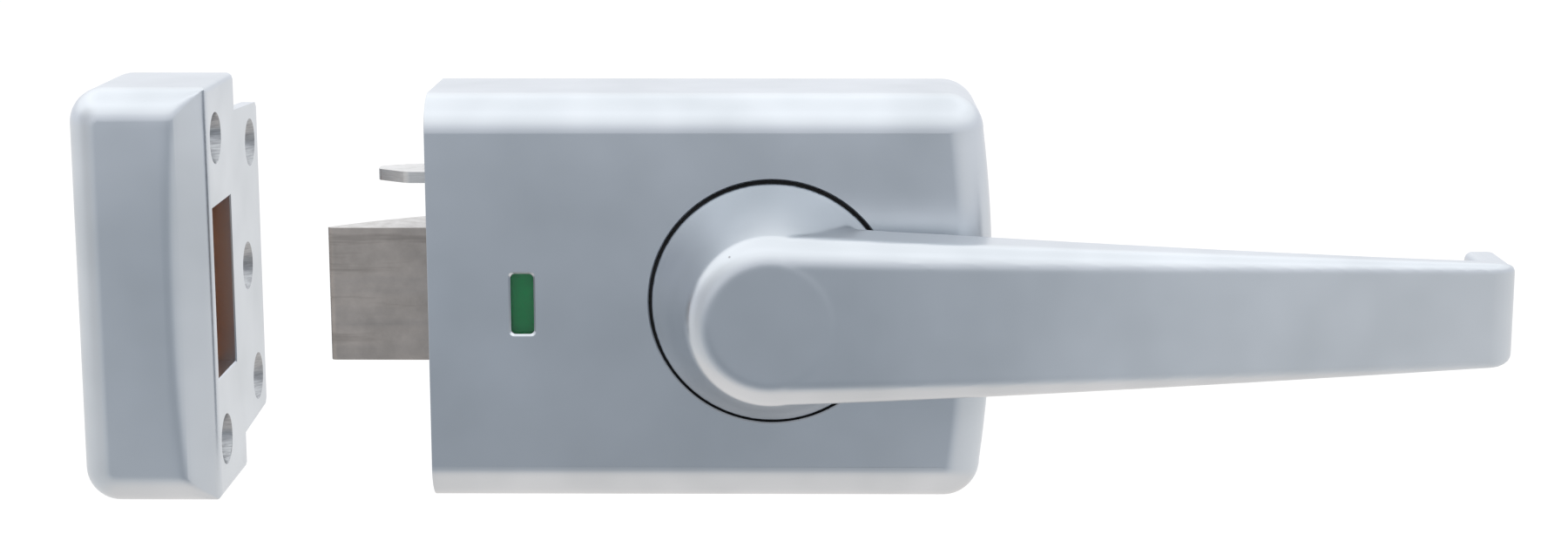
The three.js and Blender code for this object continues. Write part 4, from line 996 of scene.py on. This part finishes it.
screw = {
    "head": 3.7 * mm, "headEdge": 0.12 * mm, "sink": 1.5 * mm, "shank": 1.5 * mm,
    "tipShare": 0.6, "tip": 0.5 * mm, "threads": 24, "thread": 0.4 * mm, "groove": 0.22 * mm,
    "recess": 4.4 * mm, "recessWidth": 0.95 * mm, "recessDepth": 1.3 * mm,
    "camShank": 1.7 * mm, "camEdge": 0.15 * mm, "camHeadThickness": 0.7 * mm,
    "slotWidth": 0.9 * mm, "slotDepth": 0.4 * mm,
    "grubEdge": 0.3 * mm, "hexRadius": 1.35 * mm, "hexDepth": 2.4 * mm,
}


def coverScrew(node):
    low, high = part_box(node)
    middle = (low + high) / 2
    x, z = middle.xz
    shank, head, edge, thread = screw["shank"], screw["head"], screw["headEdge"], screw["thread"]
    threadStart = low.y + screw["tip"]
    rings = [(screw["tipShare"] * shank, low.y), (shank, threadStart)]
    for turn in range(screw["threads"]):
        start = threadStart + turn * thread
        rings += [(shank - screw["groove"], start + thread / 2), (shank, start + thread)]
    rings += [(shank, high.y - screw["sink"]), (head - edge, high.y - edge), (head - edge, high.y)]
    piece = turnedPiece(pieceName(node), rings, 32, middle)
    floor = high.y - screw["recessDepth"]
    half, narrow = screw["recess"] / 2, screw["recessWidth"] / 2
    cross = [addBox("recess", (x - across, floor, z - up), (x + across, high.y + beyond, z + up))
             for across, up in ((half, narrow), (narrow, half))]
    combine(piece, cross)
    handOver(piece, "lock_case", node)


def camScrew():
    low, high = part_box("cam_screw")
    shank, head, edge = screw["camShank"], screw["head"], screw["camEdge"]
    under = high.y - screw["camHeadThickness"]
    piece = turnedPiece("camScrew", [
        (shank - edge, low.y), (shank, low.y + edge), (shank, under), (head, under),
        (head, high.y - edge), (head - edge, high.y)], 48)
    half = screw["slotWidth"] / 2
    slot = addBox("slot", (axis.x - head, high.y - screw["slotDepth"], -half),
                  (axis.x + head, high.y + beyond, half))
    combine(piece, [slot])
    handOver(piece, "lever", "cam_screw")


def grubScrew():
    low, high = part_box("lever_grub_screw")
    radius, middle = (high.y - low.y) / 2, (low.y + high.y) / 2
    reach = radius / sqrt(2)
    start = Vector((low.x + reach, middle, high.z - reach))
    end = Vector((high.x - reach, middle, low.z + reach))
    piece = addRod("leverGrubScrew", radius, start, end, "slant", 40)
    softenEdges(piece, screw["grubEdge"], angle=60)
    socket = addRod("hexSocket", screw["hexRadius"], end - slant * screw["hexDepth"],
                    end + slant * beyond, "slant", 6)
    combine(piece, [socket])
    handOver(piece, "lever", "lever_grub_screw")


# Springs: a small circle turned about an axis through the origin, then put in its place

springs = {
    "bolt_spring": {"radius": 3.4 * mm, "wire": 0.8 * mm, "turns": 12, "joint": "bolt_slide",
                    "travel": 18 * mm},
    "trigger_spring": {"radius": 2.7 * mm, "wire": 0.6 * mm, "turns": 9, "joint": "trigger_slide",
                       "travel": 9 * mm},
}


def coilSpring(node, wireSides=12, turnSteps=32):
    look = springs[node]
    low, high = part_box(node)
    middle, length, wire = (low + high) / 2, high.x - low.x, look["wire"]
    piece = newPiece(pieceName(node), bpy.ops.mesh.primitive_circle_add, vertices=wireSides,
                     radius=wire / 2, location=(0, 0, look["radius"]), rotation=turnTo["Y"])
    steps = turnSteps * look["turns"]
    useModifier(piece, "SCREW", axis="X", angle=2 * pi * look["turns"], steps=steps,
                render_steps=steps, screw_offset=length - wire)
    edit(piece, action="SELECT")
    bpy.ops.mesh.fill_holes(sides=0)
    bpy.ops.transform.translate(value=(low.x + wire / 2, middle.y, middle.z))
    doneOutward(piece)
    handOver(piece, "lock_case", node, angle=50)
    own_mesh(piece)


# The rest of the CAD nodes keep their shape and get their finish

def dressNodes():
    for name, piece in nodes.items():
        piece.data.materials.clear()
        piece.data.materials.append(finishes[slots[name]])


# Studio: a white tent with a darker patch round the camera, which the front faces mirror

studio = {
    "cameraPlace": (16.17 * mm, -494.45 * mm, 93.77 * mm), "cameraPitch": 10.81, "cameraYaw": -0.42,
    "lens": 62.874, "sensor": 36, "nearest": 0.01, "farthest": 30,
    "floorPlace": (0, 0.5, -125 * mm), "floorSize": 8, "floorWhiteShare": 0.82,
    "patchPitch": 16, "patchAside": 4, "patchSqueeze": 0.62,
    "sideAzimuth": -54, "sidePitch": 14, "sideInner": 12, "sideOuter": 30, "sideShare": 0.75,
    "lampPlace": (0, 0, 1.1), "lampSize": (2.4, 2.0), "lampPower": 2.0,
}
white = (1.0, 1.0, 1.0)
# glow round the patch: angle from its middle in degrees, and the colour there
patchGlow = (
    (0, (0.30, 0.335, 0.375)), (7, (0.35, 0.39, 0.435)), (13, (0.42, 0.46, 0.51)),
    (19, (0.71, 0.74, 0.77)), (30, (0.87, 0.87, 0.87)), (50, (0.93, 0.93, 0.93)),
    (90, (1.04, 1.03, 1.02)), (180, (1.05, 1.04, 1.03)),
)
# glow by height: the upward part of a direction, the colour, and how much it covers the patch
heightGlow = (
    (-0.66, (1.09, 1.03, 0.98), 1), (-0.48, (1.06, 1.02, 0.98), 0), (-0.10, (1.03, 1.04, 1.08), 0),
    (0, (1.03, 1.04, 1.08), 1), (0.2, (1.04, 1.05, 1.09), 1), (0.45, (1.45, 1.45, 1.45), 1),
    (0.8, (1.50, 1.50, 1.50), 1), (0.95, (1.36, 1.36, 1.36), 1),
)


def addCamera():
    deselectAll()
    pitch, yaw = radians(studio["cameraPitch"]), radians(studio["cameraYaw"])
    bpy.ops.object.camera_add(location=studio["cameraPlace"],
                              rotation=(pi / 2 - pitch, 0, -yaw))
    camera = bpy.context.object
    camera.data.sensor_width = studio["sensor"]
    camera.data.lens = studio["lens"]
    camera.data.clip_start, camera.data.clip_end = studio["nearest"], studio["farthest"]
    bpy.context.scene.camera = camera


def glowRamp(tree, value, stops):
    # a colour ramp from minus 1 to 1, from rows of place, colour and cover
    ramp = addNode(tree, "ValToRGB", {"Fac": spreadTo(tree, value, 0, 1, -1, 1)})
    marks = ramp.color_ramp.elements
    while len(marks) < len(stops):
        marks.new(0.5)
    for mark, (place, color, cover) in zip(marks, stops):
        mark.position = (1 + place) / 2
        mark.color = (*color, cover)
    return ramp


def alignment(tree, direction, azimuth, pitch):
    # the cosine of the angle between a direction and a fixed one
    aside, up = radians(azimuth), radians(pitch)
    fixed = (cos(up) * sin(aside), -cos(up) * cos(aside), sin(up))
    near = addNode(tree, "VectorMath", {0: direction, 1: fixed}, operation="DOT_PRODUCT")
    return near.outputs["Value"]


def unitVector(tree, direction):
    unit = addNode(tree, "VectorMath", {0: direction}, operation="NORMALIZE")
    return unit.outputs["Vector"]


def glowColor(tree, direction):
    # the tent's light as it comes from a direction, seen from the lock
    unit = unitVector(tree, direction)
    turned = addNode(tree, "Mapping", {
        "Vector": unit, "Rotation": (0, 0, radians(studio["patchAside"])),
        "Scale": (studio["patchSqueeze"], 1, 1)})
    squeezed = unitVector(tree, turned.outputs["Vector"])
    stops = [(cos(radians(angle)), color, 1) for angle, color in reversed(patchGlow)]
    patch = glowRamp(tree, alignment(tree, squeezed, 0, -studio["patchPitch"]), stops)
    split = addNode(tree, "SeparateXYZ", {"Vector": unit})
    height = glowRamp(tree, split.outputs["Z"], heightGlow)
    colors = patch.outputs["Color"], height.outputs["Color"]
    glow = colorBetween(tree, height.outputs["Alpha"], *colors)
    side = alignment(tree, unit, studio["sideAzimuth"], studio["sidePitch"])
    inner, outer = (cos(radians(studio[key])) for key in ("sideInner", "sideOuter"))
    shade = spreadTo(tree, side, 1, studio["sideShare"], outer, inner)
    dimmed = addNode(tree, "VectorMath", {0: glow, "Scale": shade}, operation="SCALE")
    return dimmed.outputs["Vector"]


def seenFromCamera(tree, path):
    return mathNode(tree, "MAXIMUM", path.outputs["Is Camera Ray"],
                    path.outputs["Is Transmission Ray"])


def addFloor():
    floor = newPiece("floor", bpy.ops.mesh.primitive_plane_add, size=studio["floorSize"],
                     location=studio["floorPlace"])
    material, tree, shader = newFinish("paleFloor", 0.0, 0.9, (0.9, 0.9, 0.9))
    path = addNode(tree, "LightPath", {})
    glossy = path.outputs["Is Glossy Ray"]
    glow = colorBetween(tree, glossy, white, glowColor(tree, placeIn(tree)))
    shine = addNode(tree, "Emission", {"Color": glow})
    seen = mathNode(tree, "MULTIPLY", seenFromCamera(tree, path), studio["floorWhiteShare"])
    share = mathNode(tree, "MAXIMUM", glossy, seen)
    mix = addNode(tree, "MixShader", {0: share, 1: shader.outputs[0], 2: shine.outputs[0]})
    fill(tree, tree.nodes["Material Output"], {"Surface": mix.outputs[0]})
    floor.data.materials.append(material)


def addSky():
    world = bpy.data.worlds.new("studio")
    bpy.context.scene.world = world
    world.use_nodes = True
    tree = world.node_tree
    seen = seenFromCamera(tree, addNode(tree, "LightPath", {}))
    sky = colorBetween(tree, seen, glowColor(tree, placeIn(tree, "Generated")), white)
    fill(tree, tree.nodes["Background"], {"Color": sky})


def addStudio():
    addFloor()
    addSky()
    deselectAll()
    place = Vector(studio["lampPlace"])
    bpy.ops.object.light_add(type="AREA", location=place,
                             rotation=(-place).to_track_quat("-Z", "Y").to_euler())
    lamp = bpy.context.object
    lamp.name = "topLamp"
    lamp.data.shape = "RECTANGLE"
    lamp.data.size, lamp.data.size_y = studio["lampSize"]
    lamp.data.energy = studio["lampPower"]
    bpy.context.scene.view_settings.view_transform = "Standard"


dressNodes()
addCamera()
caseCover()
windowPane()
leverHandle()
latchBolt()
triggerLatch()
strikeKeep()
backPlate()
softenedCopies()
for node, body, axisName, edge in (
        ("spring_rod", "lock_case", "X", 0.3 * mm), ("detent_pin", "lock_case", "Y", 0.2 * mm),
        ("bolt_rivet_1", "bolt", "Y", 0.3 * mm), ("bolt_rivet_2", "bolt", "Y", 0.3 * mm)):
    plainPin(node, body, axisName, edge)
for node in coverScrews:
    coverScrew(node)
camScrew()
grubScrew()
for node in springs:
    coilSpring(node)
addStudio()
print("scene made")
